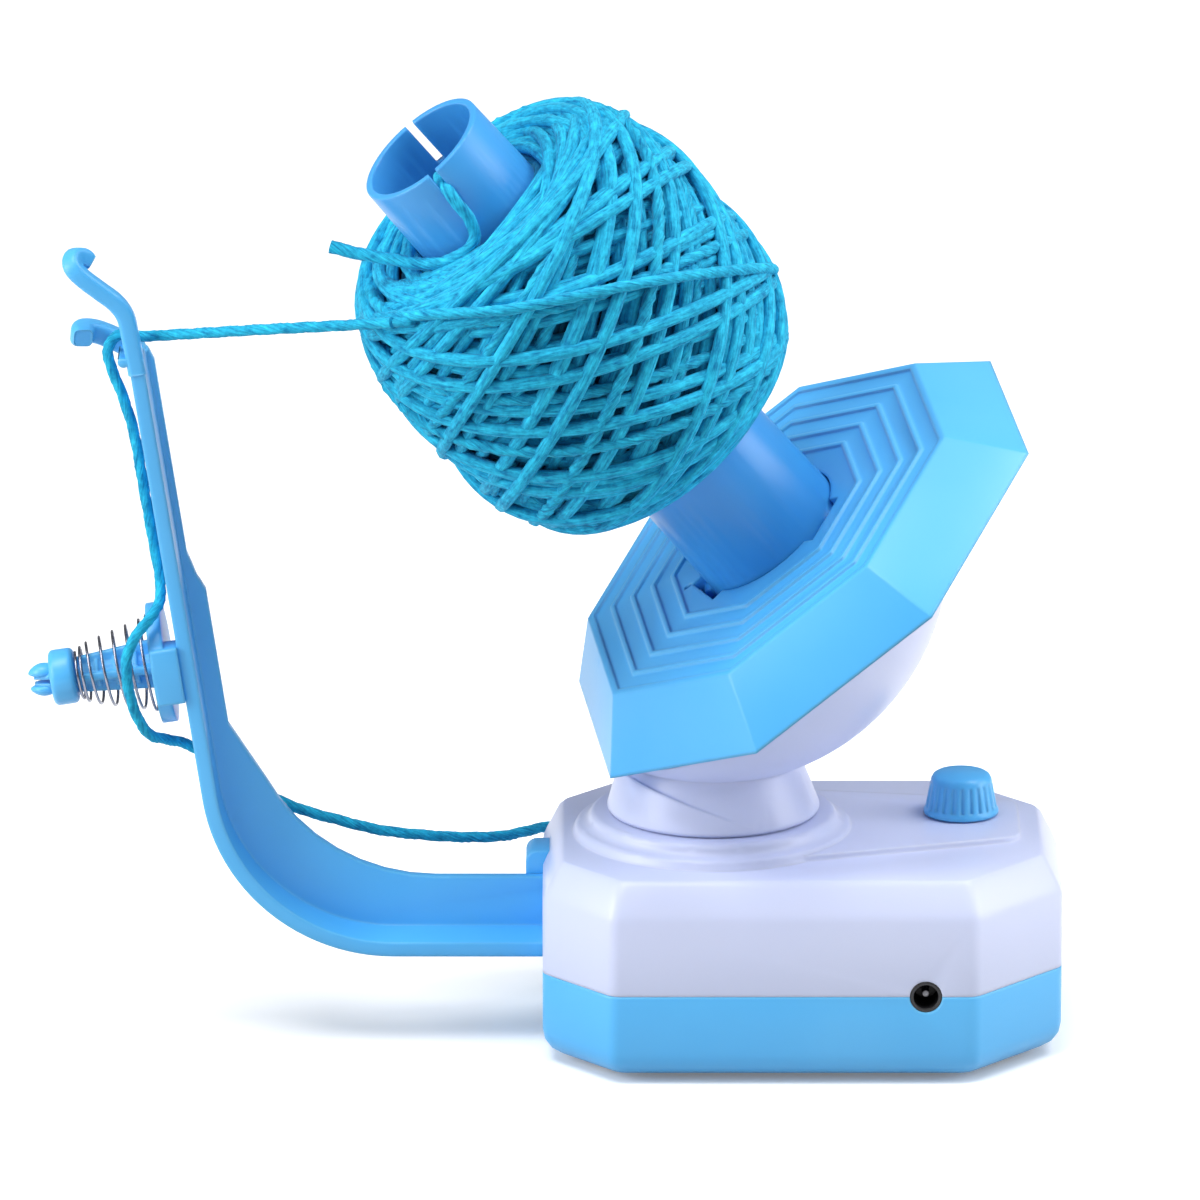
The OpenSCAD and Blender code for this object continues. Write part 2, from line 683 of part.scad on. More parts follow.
module turret_shell() {
    journal_low = ring_gear_z + ring_gear_w + 0.02;
    color("#e9ecfc") difference() {
        union() {
            intersection() {
                on_spindle() translate(bowl_off) sphere(r = bowl_r, $fn = 96);
                below_cover();
            }
            translate([-turret_x, 0, 0]) foot_cone(neck_r);
            foot_lip();
            translate([-turret_x, 0, journal_low]) cylinder(r = journal_r, h = turret_z - journal_low + 1);
        }
        difference() {
            on_spindle() translate(bowl_off) sphere(r = bowl_r - bowl_wall, $fn = 96);
            // Posts that carry the cover
            on_spindle() for (p = cover_holes())
                translate([p[0], p[1], bowl_depth(p) - 5])
                    cylinder(r = 3.4, h = 5 - bowl_depth(p) - cover_drop - cover_t - fit_gap);
        }
        on_spindle() for (p = cover_holes())
            translate([p[0], p[1], -cover_drop - cover_t - 9]) cylinder(r = pilot_r, h = 10);
        translate([-turret_x, 0, journal_low - 1]) cylinder(r = journal_bore_r, h = 60);
        // Pilot holes for the ring gear's screws
        for (a = [0:120:240])
            at_turret() rotate(a) translate([(journal_r + journal_bore_r)/2, 0, journal_low - 1])
                cylinder(r = 0.8, h = 9);
    }
}

module turret_ring_gear() {
    color("ivory") translate([-turret_x, 0, ring_gear_z]) difference() {
        rotate(idler_turn) spur(ring_teeth, slow_module, ring_gear_w, journal_bore_r);
        for (a = [0:120:240])
            rotate(lean_turn + a) translate([(journal_r + journal_bore_r)/2, 0, -eps]) {
                cylinder(r = 1.1, h = 20);
                cylinder(r = 2.1, h = 2);
            }
    }
}

module ring_gear_screws() {
    color("silver") for (a = [0:120:240])
        at_turret() rotate(a) translate([(journal_r + journal_bore_r)/2, 0, ring_gear_z + 0.3]) {
            cylinder(r = 0.78, h = 11);
            cylinder(r = 1.7, h = 1.6);
        }
}

function cover_holes() = [for (a = [70, 290, 360]) 40*[cos(a), sin(a)] + [-8, 0]];

// Cone round the fixed gear, kept free in the lid
module sun_room() {
    open_a = sun_cone + bevel_tip + 1.6;
    deep = bevel_reach + 4;
    shallow = bevel_reach - bevel_face - 8;
    translate([-turret_x, 0, axes_z - deep])
        cylinder(r1 = deep*tan(open_a), r2 = shallow*tan(open_a), h = deep - shallow);
}

// Lid of the bowl, with the spindle's bearing boss
module turret_cover() {
    boss_r = spindle_r + 5;
    color("#e9ecfc") difference() {
        union() {
            intersection() {
                on_spindle() translate(bowl_off) sphere(r = bowl_r - bowl_wall - 0.3, $fn = 96);
                on_spindle() translate([0, 0, -cover_drop - cover_t]) cylinder(r = 2*bowl_r, h = cover_t);
            }
            on_spindle() translate([0, 0, -planet_high + 0.8])
                cylinder(r = boss_r, h = planet_high - 0.8 - cover_drop);
        }
        on_spindle() translate([0, 0, -planet_high]) cylinder(r = spindle_r + 2, h = planet_high);
        sun_room();
        on_spindle() for (p = cover_holes())
            translate([p[0], p[1], -cover_drop - cover_t - 1]) cylinder(r = screw_r + 0.1, h = 10);
    }
}

module cover_screws() {
    color("silver") on_spindle() for (p = cover_holes())
        translate([p[0], p[1], -cover_drop - cover_t]) {
            translate([0, 0, -7]) cylinder(r = pilot_r - bite_gap, h = 7);
            cylinder(r = screw_r, h = cover_t);
            translate([0, 0, cover_t]) cylinder(r = screw_head_r - 0.4, h = 0.8);
        }
}

module spindle_bush() {
    color("wheat") on_spindle() translate([0, 0, -planet_high + 0.8]) difference() {
        cylinder(r = spindle_r + 1.98, h = planet_high - 0.8 - cover_drop);
        translate([0, 0, -1]) cylinder(r = spindle_r + run_gap, h = 30);
    }
}

module centre_post() {
    wall = 2;
    color("lightsteelblue") difference() {
        translate([-turret_x, 0, pan_floor]) difference() {
            union() {
                cylinder(r = post_r, h = sun_low - pan_floor - hub_h);
                cylinder(r = post_nose_r, h = sun_low - pan_floor + nose_in);
            }
            translate([0, 0, -eps]) cylinder(r = post_nose_r - wall, h = 200);
        }
        at_post_screws() cylinder(r = shaft_r + bite_gap, h = 3.2);
    }
}

// The post's side screws point at its axis, from the outside of the ring that it stands in
module at_post_screws() {
    translate([-turret_x, 0, pan_floor + post_ring_h/2]) for (a = [0, 180])
        rotate(a) translate([post_ring_r, 0, 0]) rotate([0, -90, 0]) children();
}

module post_screws() {
    head_h = 1;
    color("silver") at_post_screws() {
        translate([0, 0, -head_h]) cylinder(r = shaft_r, h = head_h + 3);
        translate([0, 0, -head_h - bite_gap]) cylinder(r = 2*shaft_r, h = head_h);
    }
}

module sun_gear() {
    color("ivory") translate([-turret_x, 0, axes_z]) difference() {
        union() {
            rotate(lean_turn) bevel(sun_teeth, sun_cone);
            translate([0, 0, sun_low - axes_z - hub_h + fit_gap]) cylinder(r = post_r, h = hub_h + 0.5);
        }
        translate([0, 0, sun_low - axes_z - hub_h - 2])
            cylinder(r = post_nose_r + bite_gap, h = hub_h + 2 + nose_in + bite_gap);
    }
}

// Flyer

module planet_gear() {
    gap_turn = 180/planet_teeth;
    color("khaki") on_spindle() difference() {
        rotate(180 + gap_turn) bevel(planet_teeth, planet_cone);
        translate([0, 0, -bevel_reach]) cylinder(r = spindle_r + 0.02, h = bevel_reach);
    }
}

module spindle_shaft() {
    color("silver") on_spindle() difference() {
        translate([0, 0, -planet_low - 3]) cylinder(r = spindle_r, h = planet_low + 3 - tray_drop - 6);
        // Groove for the retaining clip
        translate([0, 0, -planet_low - 1.6]) difference() {
            cylinder(r = spindle_r + 1, h = 0.8);
            translate([0, 0, -eps]) cylinder(r = spindle_r - 0.6, h = 1);
        }
    }
}

module spindle_clip() {
    color("gray") on_spindle() translate([0, 0, -planet_low - 1.55]) difference() {
        cylinder(r = spindle_r + 2, h = 0.7);
        translate([0, 0, -1]) cylinder(r = spindle_r - 0.58, h = 3);
        translate([0, -1.5, -1]) cube([10, 3, 3]);
    }
}

module tray_oct(r, h) {
    rotate(tray_spin) cylinder(r = r, h = h, $fn = 8);
}

// Octagonal frustum of the tray, drawn in by inset
module tray_body(inset, low, high) {
    slope = (tray_low_r - tray_top_r)/tray_h;
    rotate(tray_spin) translate([0, 0, -tray_low - low]) linear_extrude(tray_h + low + high, scale =
        (tray_low_r - inset + slope*low - slope*(tray_h + low + high))/(tray_low_r - inset + slope*low))
            circle(r = tray_low_r - inset + slope*low, $fn = 8);
}

socket_r = tube_low_r + 0.25;
socket_low = tray_low - 3.2;
lug = 1.2;
lug_w = 13;
pocket_w = 15;
lug_turns = [60, 180, 300];

module flyer_tray() {
    plate_t = tray_wall + rib_h;
    rim_w = 1.3;
    slot_turn = 160;
    slot_at = 25.7;
    color("#52aef3") on_spindle() difference() {
        union() {
            difference() {
                tray_body(0, 0, 0);
                intersection() {
                    tray_body(tray_wall*1.15, 1, -plate_t);
                    translate([0, 0, -tray_drop - plate_t - 50]) cylinder(r = 100, h = 50);
                }
            }
            // Cup that the tube plugs into, with the hub below it
            translate([0, 0, -socket_low - tray_wall])
                cylinder(r = socket_r + tray_wall, h = socket_low + tray_wall - tray_drop - 1);
            translate([0, 0, -tray_low]) cylinder(r = spindle_r + 5, h = 4);
        }
        // Flats between the ribs of the face
        for (i = [0:tray_ribs - 2])
            translate([0, 0, -tray_drop - rib_h]) difference() {
                tray_oct(tray_top_r - rim_w - i*rib_pitch - rib_w/2, 5);
                translate([0, 0, -1]) tray_oct(tray_top_r - rim_w - (i + 1)*rib_pitch + rib_w/2, 7);
            }
        translate([0, 0, -tray_drop - rib_h])
            tray_oct(tray_top_r - rim_w - (tray_ribs - 1)*rib_pitch - rib_w/2, 5);
        // Slot beside the tube
        rotate(slot_turn) translate([slot_at - slot_w/2, -slot_w/3, -tray_drop - plate_t - 1])
            cube([slot_w, slot_w*2/3, 10]);
        translate([0, 0, -socket_low]) cylinder(r = socket_r, h = 50);
        // Keyways for the tube's lugs
        for (a = lug_turns)
            rotate(a) translate([0, -pocket_w/2, -socket_low + 4]) cube([socket_r + lug + 0.8, pocket_w, 50]);
        translate([0, 0, -tray_low - 5]) cylinder(r = spindle_r + 0.02, h = 30);
    }
}

module tray_nut() {
    nut_t = 3;
    color("silver") on_spindle() translate([0, 0, -socket_low]) difference() {
        cylinder(r = 8, h = nut_t, $fn = 6);
        translate([0, 0, -1]) cylinder(r = spindle_r + 0.02, h = 10);
    }
}

module winding_tube() {
    low = -socket_low + 0.3;
    color("#4d9fe8") on_spindle() difference() {
        union() {
            translate([0, 0, low]) cylinder(r1 = tube_low_r, r2 = tube_top_r, h = tube_top - low);
            for (a = lug_turns)
                rotate(a) translate([0, -lug_w/2, low + 4.2]) cube([tube_low_r + lug, lug_w, 5]);
        }
        translate([0, 0, low - eps])
            cylinder(r1 = tube_low_r - tube_wall, r2 = tube_top_r - tube_wall, h = tube_top - low + 2*eps);
        rotate(tube_slot_turn) translate([-50, -slot_w/2, tube_top - slot_d]) cube([100, slot_w, 50]);
    }
}
tube_slot_turn = 105;

// Guide arm and tensioner

// How far the arm's plug runs into the housing
plug_in = 12;
arm_in = base_w/2 - plug_in;
bend_at = [-bend_x, arm_z + bend_r];

// Side view of the arm's rim up to a height
module rim_side(top) {
    intersection() {
        translate(bend_at) difference() {
            circle(r = bend_r, $fn = 96);
            circle(r = bend_r - rim_t, $fn = 96);
        }
        polygon([bend_at, bend_at + 2*bend_r*[0, -1], bend_at + 2*bend_r*[-1, -1],
                 bend_at + 2*bend_r*[-cos(arm_lean), -sin(arm_lean)]]);
    }
    translate([-bend_x - 0.05, arm_z]) square([bend_x + 0.05 - arm_in, rim_t]);
    polygon([arm_line(arm_foot[1] - 0.05), arm_line(top), arm_line(top, rim_t),
             arm_line(arm_foot[1] - 0.05, rim_t)]);
}

module web_side() {
    lower_w = 8.8;
    upper_w = 5.5;
    shoulder_z = 122.9;
    upper_z = 129.3;
    sweep_r = 50;
    sweep_a = 62;
    flat_end = -95.5;
    sunk = rim_t/2;
    c = [flat_end, web_z + sweep_r];
    polygon(concat(
        [[-arm_in, arm_z + sunk], [-arm_in, web_z]],
        [for (a = [0:sweep_a/8:sweep_a]) c + sweep_r*[-sin(a), -cos(a)]],
        [arm_line(83, lower_w), arm_line(shoulder_z - 3.6, lower_w), arm_line(shoulder_z - 1.3, lower_w - 1),
         arm_line(shoulder_z, upper_w + 1.6), arm_line(upper_z - 3, upper_w + 0.8), arm_line(upper_z, upper_w),
         arm_line(guide_z - 5, upper_w), arm_line(guide_z - 2.4, upper_w - 0.9), arm_line(guide_z - 1.4, rim_t),
         arm_line(guide_z - 1.4, sunk), arm_line(arm_foot[1], sunk)],
        [for (a = [80:-10:0]) bend_at + (bend_r - sunk)*[-sin(a), -cos(a)]]));
}

module extrude_y(y0, y1) {
    translate([0, y1, 0]) rotate([90, 0, 0]) linear_extrude(y1 - y0) children();
}

// Round-ended stroke between two points, in side view
module stroke(p, q, w) {
    d = unit(q - p);
    n = [-d[1], d[0]]*w/2;
    polygon([p + n, q + n, q - n, p - n]);
    translate(p) circle(d = w, $fn = 24);
    translate(q) circle(d = w, $fn = 24);
}

finger_w = 4;
finger_t = 4;
rim_y0 = -rim_front;
rim_y1 = rim_back;
guide_root = arm_line(guide_z - 2, rim_t/2);
front_knee = guide_root + [-1, 16];
front_end = front_knee + [-14.6, 8.6];
back_knee = guide_root + [-2, 0.8];
back_end = back_knee + [-12.6, 2];
guide_pin = arm_line(guide_z - 1.5, -1.2);
guide_pin_r = 1.5;

// End of a finger, curled in plan from its outer end towards the other finger
module finger_curl(at, y, away, tip) {
    reach = 7.6;
    turn = [0.8, away*reach*0.7];
    translate([at[0], y, at[1] - finger_w/2]) linear_extrude(finger_w) {
        stroke([0, 0], turn, finger_w - 0.4);
        stroke(turn, [tip, away*reach], finger_w - 0.4);
    }
}

module guide_fingers() {
    // Front finger, which rises past the yarn
    extrude_y(rim_y0, rim_y0 + finger_t) {
        stroke(guide_root, front_knee, finger_w);
        stroke(front_knee, front_end, finger_w);
    }
    finger_curl(front_end, rim_y0 + finger_t/2, 1, 6.6);
    // Back finger, lower
    extrude_y(rim_y1 - finger_t, rim_y1) {
        stroke(guide_root, back_knee, finger_w);
        stroke(back_knee, back_end, finger_w);
    }
    finger_curl(back_end, rim_y1 - finger_t/2, -1, 3.4);
    // Pin that the yarn turns over
    translate([guide_pin[0], rim_y1, guide_pin[1]]) rotate([90, 0, 0])
        cylinder(r = guide_pin_r, h = rim_y1 - rim_y0);
}

arm_screw_at = [-base_w/2 + 5, web_z - 2.8];
module guide_arm() {
    color("#52aef3") difference() {
        union() {
            extrude_y(rim_y0, rim_y1) rim_side(guide_z - 1);
            extrude_y(rim_y1 - web_t, rim_y1) web_side();
            guide_fingers();
        }
        // Hole for the screw in the clip
        translate([arm_screw_at[0], 30, arm_screw_at[1]]) rotate([90, 0, 0])
            cylinder(r = screw_r + 0.1, h = 60);
    }
}

// Room that the arm's plug and its clip take in the side wall
module arm_slot(gap) {
    out = 8;
    run = out + plug_in + 1;
    low = seam_z - 1;
    translate([-base_w/2 - out, rim_y0 - gap, low])
        cube([run, rim_y1 - rim_y0 + 2*gap, arm_z + rim_t + gap - low]);
    translate([-base_w/2 - out, rim_y1 - web_t - gap, low]) cube([run, web_t + 2*gap, web_z + gap - low]);
    translate([-base_w/2 - out, rim_y1, clip_low - gap])
        cube([run, clip_d + 2*gap, clip_top - clip_low + 2*gap]);
}

clip_d = 12;
clip_low = web_z - 5.4;
clip_top = web_z + 6.1;

// Clip in the side wall that the arm's web is screwed to
module arm_socket() {
    reach = 4.5;
    round = 3;
    plug = 9;
    left = -base_w/2 - reach;
    color("#52aef3") difference() {
        extrude_y(rim_y1 + fit_gap, rim_y1 + clip_d) polygon(concat(
            [[-base_w/2 + plug, clip_low], [left, clip_low]],
            [for (a = [0:15:90]) [left + round*(1 - cos(a)), clip_top - round + round*sin(a)]],
            [[-base_w/2 + plug, clip_top]]));
        translate([arm_screw_at[0], 30, arm_screw_at[1]]) rotate([90, 0, 0]) cylinder(r = pilot_r, h = 60);
    }
}

module arm_screw() {
    color("silver") translate([arm_screw_at[0], rim_y1 - web_t, arm_screw_at[1]]) rotate([-90, 0, 0]) {
        cylinder(r = pilot_r - bite_gap, h = web_t + 8);
        translate([0, 0, -1]) cylinder(r = 2.4, h = 1);
    }
}

// The tensioner's frame: +Z runs away from the arm along the post
module on_tension() {
    p = arm_line(tension_z);
    translate([p[0], tension_y, p[1]]) rotate([0, -(90 + arm_lean), 0]) children();
}

post_low_r = 6.6;
post_top_r = 4.6;
cap_t = 6.6;
cap_r = 7.3;
stem_r = 2.6;

module tension_seat() {
    bridge_h = 14.8;
    bridge_front = -17.8 - tension_y;
    bridge_d = 8.6;
    rib = 2;
    plate_low = plate_gap;
    plate_top = plate_low + plate_t;
    color("#52aef3") on_tension() {
        translate([0, 0, plate_low]) cylinder(r = plate_r, h = plate_t);
        translate([-bridge_h/2, bridge_front, bite_gap]) cube([bridge_h, bridge_d, plate_top - 0.3]);
        // Post with crossed ribs and rings
        translate([0, 0, plate_top - 1]) intersection() {
            cylinder(r1 = post_low_r, r2 = post_top_r, h = post_l + 1);
            union() {
                for (a = [0, 90])
                    rotate(a) translate([-10, -rib/2, 0]) cube([20, rib, post_l + 1]);
                cylinder(r = 3, h = post_l + 1);
                for (k = [1:3])
                    translate([0, 0, k*post_l/4]) cylinder(r = 5 - k*0.4, h = 1);
            }
        }
        // Split tip that the cap snaps over
        translate([0, 0, plate_top + post_l]) difference() {
            union() {
                cylinder(r = stem_r, h = cap_t + 0.1);
                translate([0, 0, cap_t + 0.1]) cylinder(r1 = stem_r + 1, r2 = 1.4, h = 4.4);
            }
            translate([-0.6, -10, 1]) cube([1.2, 20, 20]);
        }
    }
}

module tension_cap() {
    round = 1.4;
    color("#4ea9ee") on_tension() translate([0, 0, plate_gap + plate_t + post_l + 0.05]) difference() {
        rotate_extrude() polygon(concat([[0, 0], [cap_r - round, 0]],
            [for (a = [-90:15:0]) [cap_r - round + round*cos(a), round + round*sin(a)]],
            [for (a = [0:15:90]) [cap_r - round + round*cos(a), cap_t - round + round*sin(a)]],
            [[0, cap_t]]));
        translate([0, 0, -1]) cylinder(r = stem_r + 0.05, h = 20);
    }
}

spring_low = plate_gap + plate_t + spring_wire/2 + 0.1;
spring_high = plate_gap + plate_t + post_l - spring_wire/2 - 0.1;
spring_r0 = 12.8;
spring_r1 = 6;
spring_path = [for (i = [0:8*spring_coils]) let (k = i/(8*spring_coils), a = 45*i,
    r = spring_r0 + (spring_r1 - spring_r0)*k,
    climb = k < 0.1 ? k*0.5 : k > 0.9 ? 1 - (1 - k)*0.9 : 0.05 + (k - 0.1)*0.86/0.8,
    z = spring_low + (spring_high - spring_low)*climb)
    [r*cos(a), r*sin(a), z]];

module tension_spring() {
    color("silver") on_tension() sweep(spring_path, spring_wire/2, 6);
}

// Yarn

// Turns climb on the lower layer and come back on the upper one, so that they cross apart
layer_gap = 0.5;
upper_r = ball_r - yarn_d/2;
lower_r = upper_r - yarn_d - layer_gap;
core_r = lower_r - yarn_d/2 - 0.75;
ball_drift = 1 + 1/ball_turns;
ball_path = [for (i = [0:24*ball_turns - 1]) let (
    ph = 7.5 + 15*i, up = cos(ph) > 0, lat = ball_lat*sin(ph), lon = ph*ball_drift, r = up ? lower_r : upper_r)
    r*[cos(lat)*cos(lon), cos(lat)*sin(lon), sin(lat)]];

module yarn_core() {
    tube_taper = (tube_low_r - tube_top_r)/(tube_top + socket_low);
    tube_at_ball = tube_low_r - tube_taper*(ball_h - core_r + socket_low) + 0.3;
    color("#12a2cf") on_spindle() translate([0, 0, ball_h]) difference() {
        sphere(r = core_r, $fn = 96);
        translate([0, 0, -100]) cylinder(r = tube_at_ball, h = 200);
    }
}

module yarn_winding() {
    color("#18b0dd") on_spindle() translate([0, 0, ball_h]) sweep(ball_path, yarn_d/2, 6, ball_path);
}

// Strand from the ball over the guide, down to the tensioner and back behind the base
strand_route = [[-105.4, -48.6, 203.5], [-121.5, -38.5, 199.9], [-137.7, -28.3, 196.4],
    [-153.8, -18.2, 192.8], [-165, -11.1, 190.3], [-170, -8, 189.2],
    [-175, -8, 190], [-178.2, -8, 188.4], [-179.4, -8, 185], [-178.6, -8, 181],
    [-175.6, -8, 173], [-172.8, -8, 163], [-170.4, -8, 148],
    [-168.2, -8, 134.5], [-166.4, -9, 123.5], [-167, -12, 118], [-169.6, -15.2, 115],
    [-172.6, -17, 111.4], [-175, -17.6, 106],
    [-174.8, -17.4, 98], [-172.8, -15, 89.5], [-169.6, -9.5, 82.6], [-165.4, -2.5, 79.2],
    [-160.6, 3.4, 76.2], [-155, 5.4, 72.4],
    [-148, 5.8, 67.2], [-140, 6, 61.8], [-131, 8, 57], [-121, 10, 53.4], [-110, 12, 50], [-97, 17, 47],
    [-87, 22, 45], [-78, 28.4, 43.4], [-71, 36, 42.6], [-65, 43.6, 41.4], [-58, 51, 37.6], [-50, 57, 30.4],
    [-42, 61, 21], [-34, 63.4, 11.4],
    [-26, 64.6, 4.6], [-18, 65, 1.8], [-8, 65, 1.5], [2, 64.4, 1.5], [12, 63, 1.5]];

module yarn_strand() {
    color("#18b0dd") sweep(strand_route, yarn_d/2, 8);
}

module yarn_knot() {
    knot_r = 2.6;
    last = strand_route[len(strand_route) - 1];
    color("#18b0dd") translate(last + [knot_r + 0.1, -0.2, knot_r - yarn_d/2]) sphere(r = knot_r);
}

union() {
    echo(ball_gap = least_gap(ball_path, yarn_d, 4));
    echo(spring_gap = least_gap(spring_path, spring_wire, 5));
}
anti_slip_pad();
base_pan();
base_screws();
upper_housing();
power_inlet();
inlet_contact();
motor_can();
motor_plate();
motor_screws();
idler_pin();
control_board();
speed_pot();
board_screws();
turret_bush();
centre_post();
post_screws();
sun_gear();
arm_socket();
guide_arm();
arm_screw();
tension_seat();
tension_cap();
tension_spring();
motor_pinion();
motor_shaft();
idler_gear();
speed_knob();
knob_shaft();
turret_shell();
turret_ring_gear();
ring_gear_screws();
turret_cover();
cover_screws();
spindle_bush();
flyer_tray();
spindle_shaft();
planet_gear();
spindle_clip();
tray_nut();
winding_tube();
yarn_core();
yarn_winding();
yarn_strand();
yarn_knot();
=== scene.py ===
import json
import math

import bpy
from mathutils import Matrix, Vector


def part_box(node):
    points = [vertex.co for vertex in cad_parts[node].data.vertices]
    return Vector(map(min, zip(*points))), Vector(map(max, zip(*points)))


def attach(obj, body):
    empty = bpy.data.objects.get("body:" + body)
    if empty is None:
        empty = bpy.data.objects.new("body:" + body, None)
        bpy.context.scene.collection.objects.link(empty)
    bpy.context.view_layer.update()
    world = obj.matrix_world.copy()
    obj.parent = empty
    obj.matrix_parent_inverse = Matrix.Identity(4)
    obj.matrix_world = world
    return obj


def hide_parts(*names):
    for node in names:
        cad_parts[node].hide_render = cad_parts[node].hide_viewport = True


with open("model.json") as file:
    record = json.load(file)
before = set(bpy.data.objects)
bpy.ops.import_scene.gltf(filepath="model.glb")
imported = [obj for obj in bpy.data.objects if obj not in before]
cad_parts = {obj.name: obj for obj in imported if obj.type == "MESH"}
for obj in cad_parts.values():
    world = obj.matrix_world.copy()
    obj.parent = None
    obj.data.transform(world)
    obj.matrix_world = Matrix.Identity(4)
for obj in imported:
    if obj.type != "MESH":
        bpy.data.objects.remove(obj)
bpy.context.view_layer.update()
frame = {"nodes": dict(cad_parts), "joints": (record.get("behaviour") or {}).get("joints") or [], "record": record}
nodes = frame["nodes"]
joints = {j["name"]: j for j in frame["joints"]}
nodeBody = {n: b for b, members in frame["record"]["behaviour"]["bodies"].items() for n in members}
nodeSlot = {s["node"]: s["material_slot"] for s in frame["record"]["subparts"]}
mm = 0.001
print("frame loaded:", len(nodes), "nodes")

# Camera at the photograph's long-lens view
shot = {"lens": 360, "sensor": 36, "elevation": 16, "distance": 3.118, "target": (-0.0526, 0, 0.11625),
        "farthest": 20}


def addCamera():
    rise = math.radians(shot["elevation"])
    back = Vector((0, -math.cos(rise), math.sin(rise)))
    spot = Vector(shot["target"]) + back * shot["distance"]
    bpy.ops.object.camera_add(location=spot, rotation=(math.pi / 2 - rise, 0, 0))
    camera = bpy.context.object
    camera.data.lens = shot["lens"]
    camera.data.sensor_width = shot["sensor"]
    camera.data.clip_end = shot["farthest"]
    bpy.context.scene.camera = camera
    return back


towardsCamera = addCamera()


# Shader wiring: maths on a Wire adds Math nodes
class Wire:
    def __init__(self, finish, socket):
        self.finish, self.socket = finish, socket

    def math(self, operation, a, b):
        return self.finish.node("ShaderNodeMath", {"operation": operation}, {0: a, 1: b})

    def __add__(self, other):
        return self.math("ADD", self, other)

    def __sub__(self, other):
        return self.math("SUBTRACT", self, other)

    def __rsub__(self, other):
        return self.math("SUBTRACT", other, self)

    def __mul__(self, other):
        return self.math("MULTIPLY", self, other)

    __radd__ = __add__
    __rmul__ = __mul__


class Finish:
    def __init__(self, name):
        self.material = bpy.data.materials.new(name)
        self.material.use_nodes = True
        self.tree = self.material.node_tree
        self.tree.nodes.clear()

    def node(self, kind, settings=None, inputs=None, out=0):
        made = self.tree.nodes.new(kind)
        for key, value in (settings or {}).items():
            setattr(made, key, value)
        for key, value in (inputs or {}).items():
            if isinstance(value, Wire):
                self.tree.links.new(value.socket, made.inputs[key])
            else:
                made.inputs[key].default_value = value
        return Wire(self, made.outputs[out]) if made.outputs else None

    def place(self):
        return self.node("ShaderNodeTexCoord", {}, {}, "Object")

    def noise(self, place, scale, detail, rough=0.5):
        return self.node("ShaderNodeTexNoise", {}, {"Vector": place, "Scale": scale, "Detail": detail,
                                                    "Roughness": rough}, "Fac")

    def between(self, share, first, second):
        return self.node("ShaderNodeMix", {"data_type": "RGBA"},
                         {0: share, 6: (*first, 1), 7: (*second, 1)}, 2)

    def fit(self, value, low, high):
        return self.node("ShaderNodeMapRange", {}, {"Value": value, "From Min": low, "From Max": high})

    def bump(self, strength, distance, height, **more):
        return self.node("ShaderNodeBump", {}, {"Strength": strength, "Distance": distance, "Height": height,
                                                **more})

    def surface(self, **sockets):
        named = {key.replace("_", " "): value for key, value in sockets.items()}
        shader = self.node("ShaderNodeBsdfPrincipled", {}, named)
        self.node("ShaderNodeOutputMaterial", {}, {"Surface": shader})
        return self.material


# Moulded plastic: cloudy colour, fine grain, edges softened and a little paler, which is a painted highlight along
# them
moulding = {"cloudDetail": 3.0, "grainDetail": 2.0, "scuffScale": 5, "scuffDetail": 5.0, "scuffRough": 0.7,
            "scuffRange": (0.62, 0.8), "scuffDull": 0.12, "edgeSamples": 6, "edgeRange": (0.01, 0.2),
            "edgePolish": 0.06, "colourRange": (0.3, 1.15), "grainHeight": 0.2 * mm,
            "scatter": (0.6, 0.9, 1.0), "scatterDepth": 2 * mm}


def mouldedPlastic(name, look):
    f = Finish(name)
    place = f.place()
    cloud = f.noise(place, look["cloud"], moulding["cloudDetail"])
    grain = f.noise(place, look["grain"], moulding["grainDetail"])
    marks = f.noise(place, look["cloud"] * moulding["scuffScale"], moulding["scuffDetail"],
                    moulding["scuffRough"])
    scuff = f.fit(marks, *moulding["scuffRange"])
    soft = f.node("ShaderNodeBevel", {"samples": moulding["edgeSamples"]}, {"Radius": look["edge"]}, "Normal")
    flat = f.node("ShaderNodeNewGeometry", {}, {}, "Normal")
    same = f.node("ShaderNodeVectorMath", {"operation": "DOT_PRODUCT"}, {0: soft, 1: flat}, "Value")
    edge = f.fit(1 - same, *moulding["edgeRange"])
    # Painted highlight: the colour turns paler along the edges
    share = f.fit(cloud + edge * look["edgeShare"], *moulding["colourRange"])
    colour = f.between(share, look["deep"], look["pale"])
    rough = look["rough"] + scuff * moulding["scuffDull"] - edge * moulding["edgePolish"]
    normal = f.bump(look["bump"], moulding["grainHeight"], grain, Normal=soft)
    return f.surface(Base_Color=colour, Roughness=rough, Normal=normal, Specular_IOR_Level=look["shine"],
                     Subsurface_Weight=look["glow"], Subsurface_Radius=moulding["scatter"],
                     Subsurface_Scale=moulding["scatterDepth"])


# Bright metal with drawn streaks
drawing = {"detail": 4.0, "bump": 0.08, "streakHeight": 0.1 * mm, "streakDull": 0.12}


def drawnMetal(name, look):
    f = Finish(name)
    streak = f.noise(f.place(), look["streak"], drawing["detail"])
    colour = f.between(streak, look["deep"], look["pale"])
    normal = f.bump(drawing["bump"], drawing["streakHeight"], streak)
    rough = look["rough"] + streak * drawing["streakDull"]
    return f.surface(Base_Color=colour, Metallic=1.0, Roughness=rough, Normal=normal)


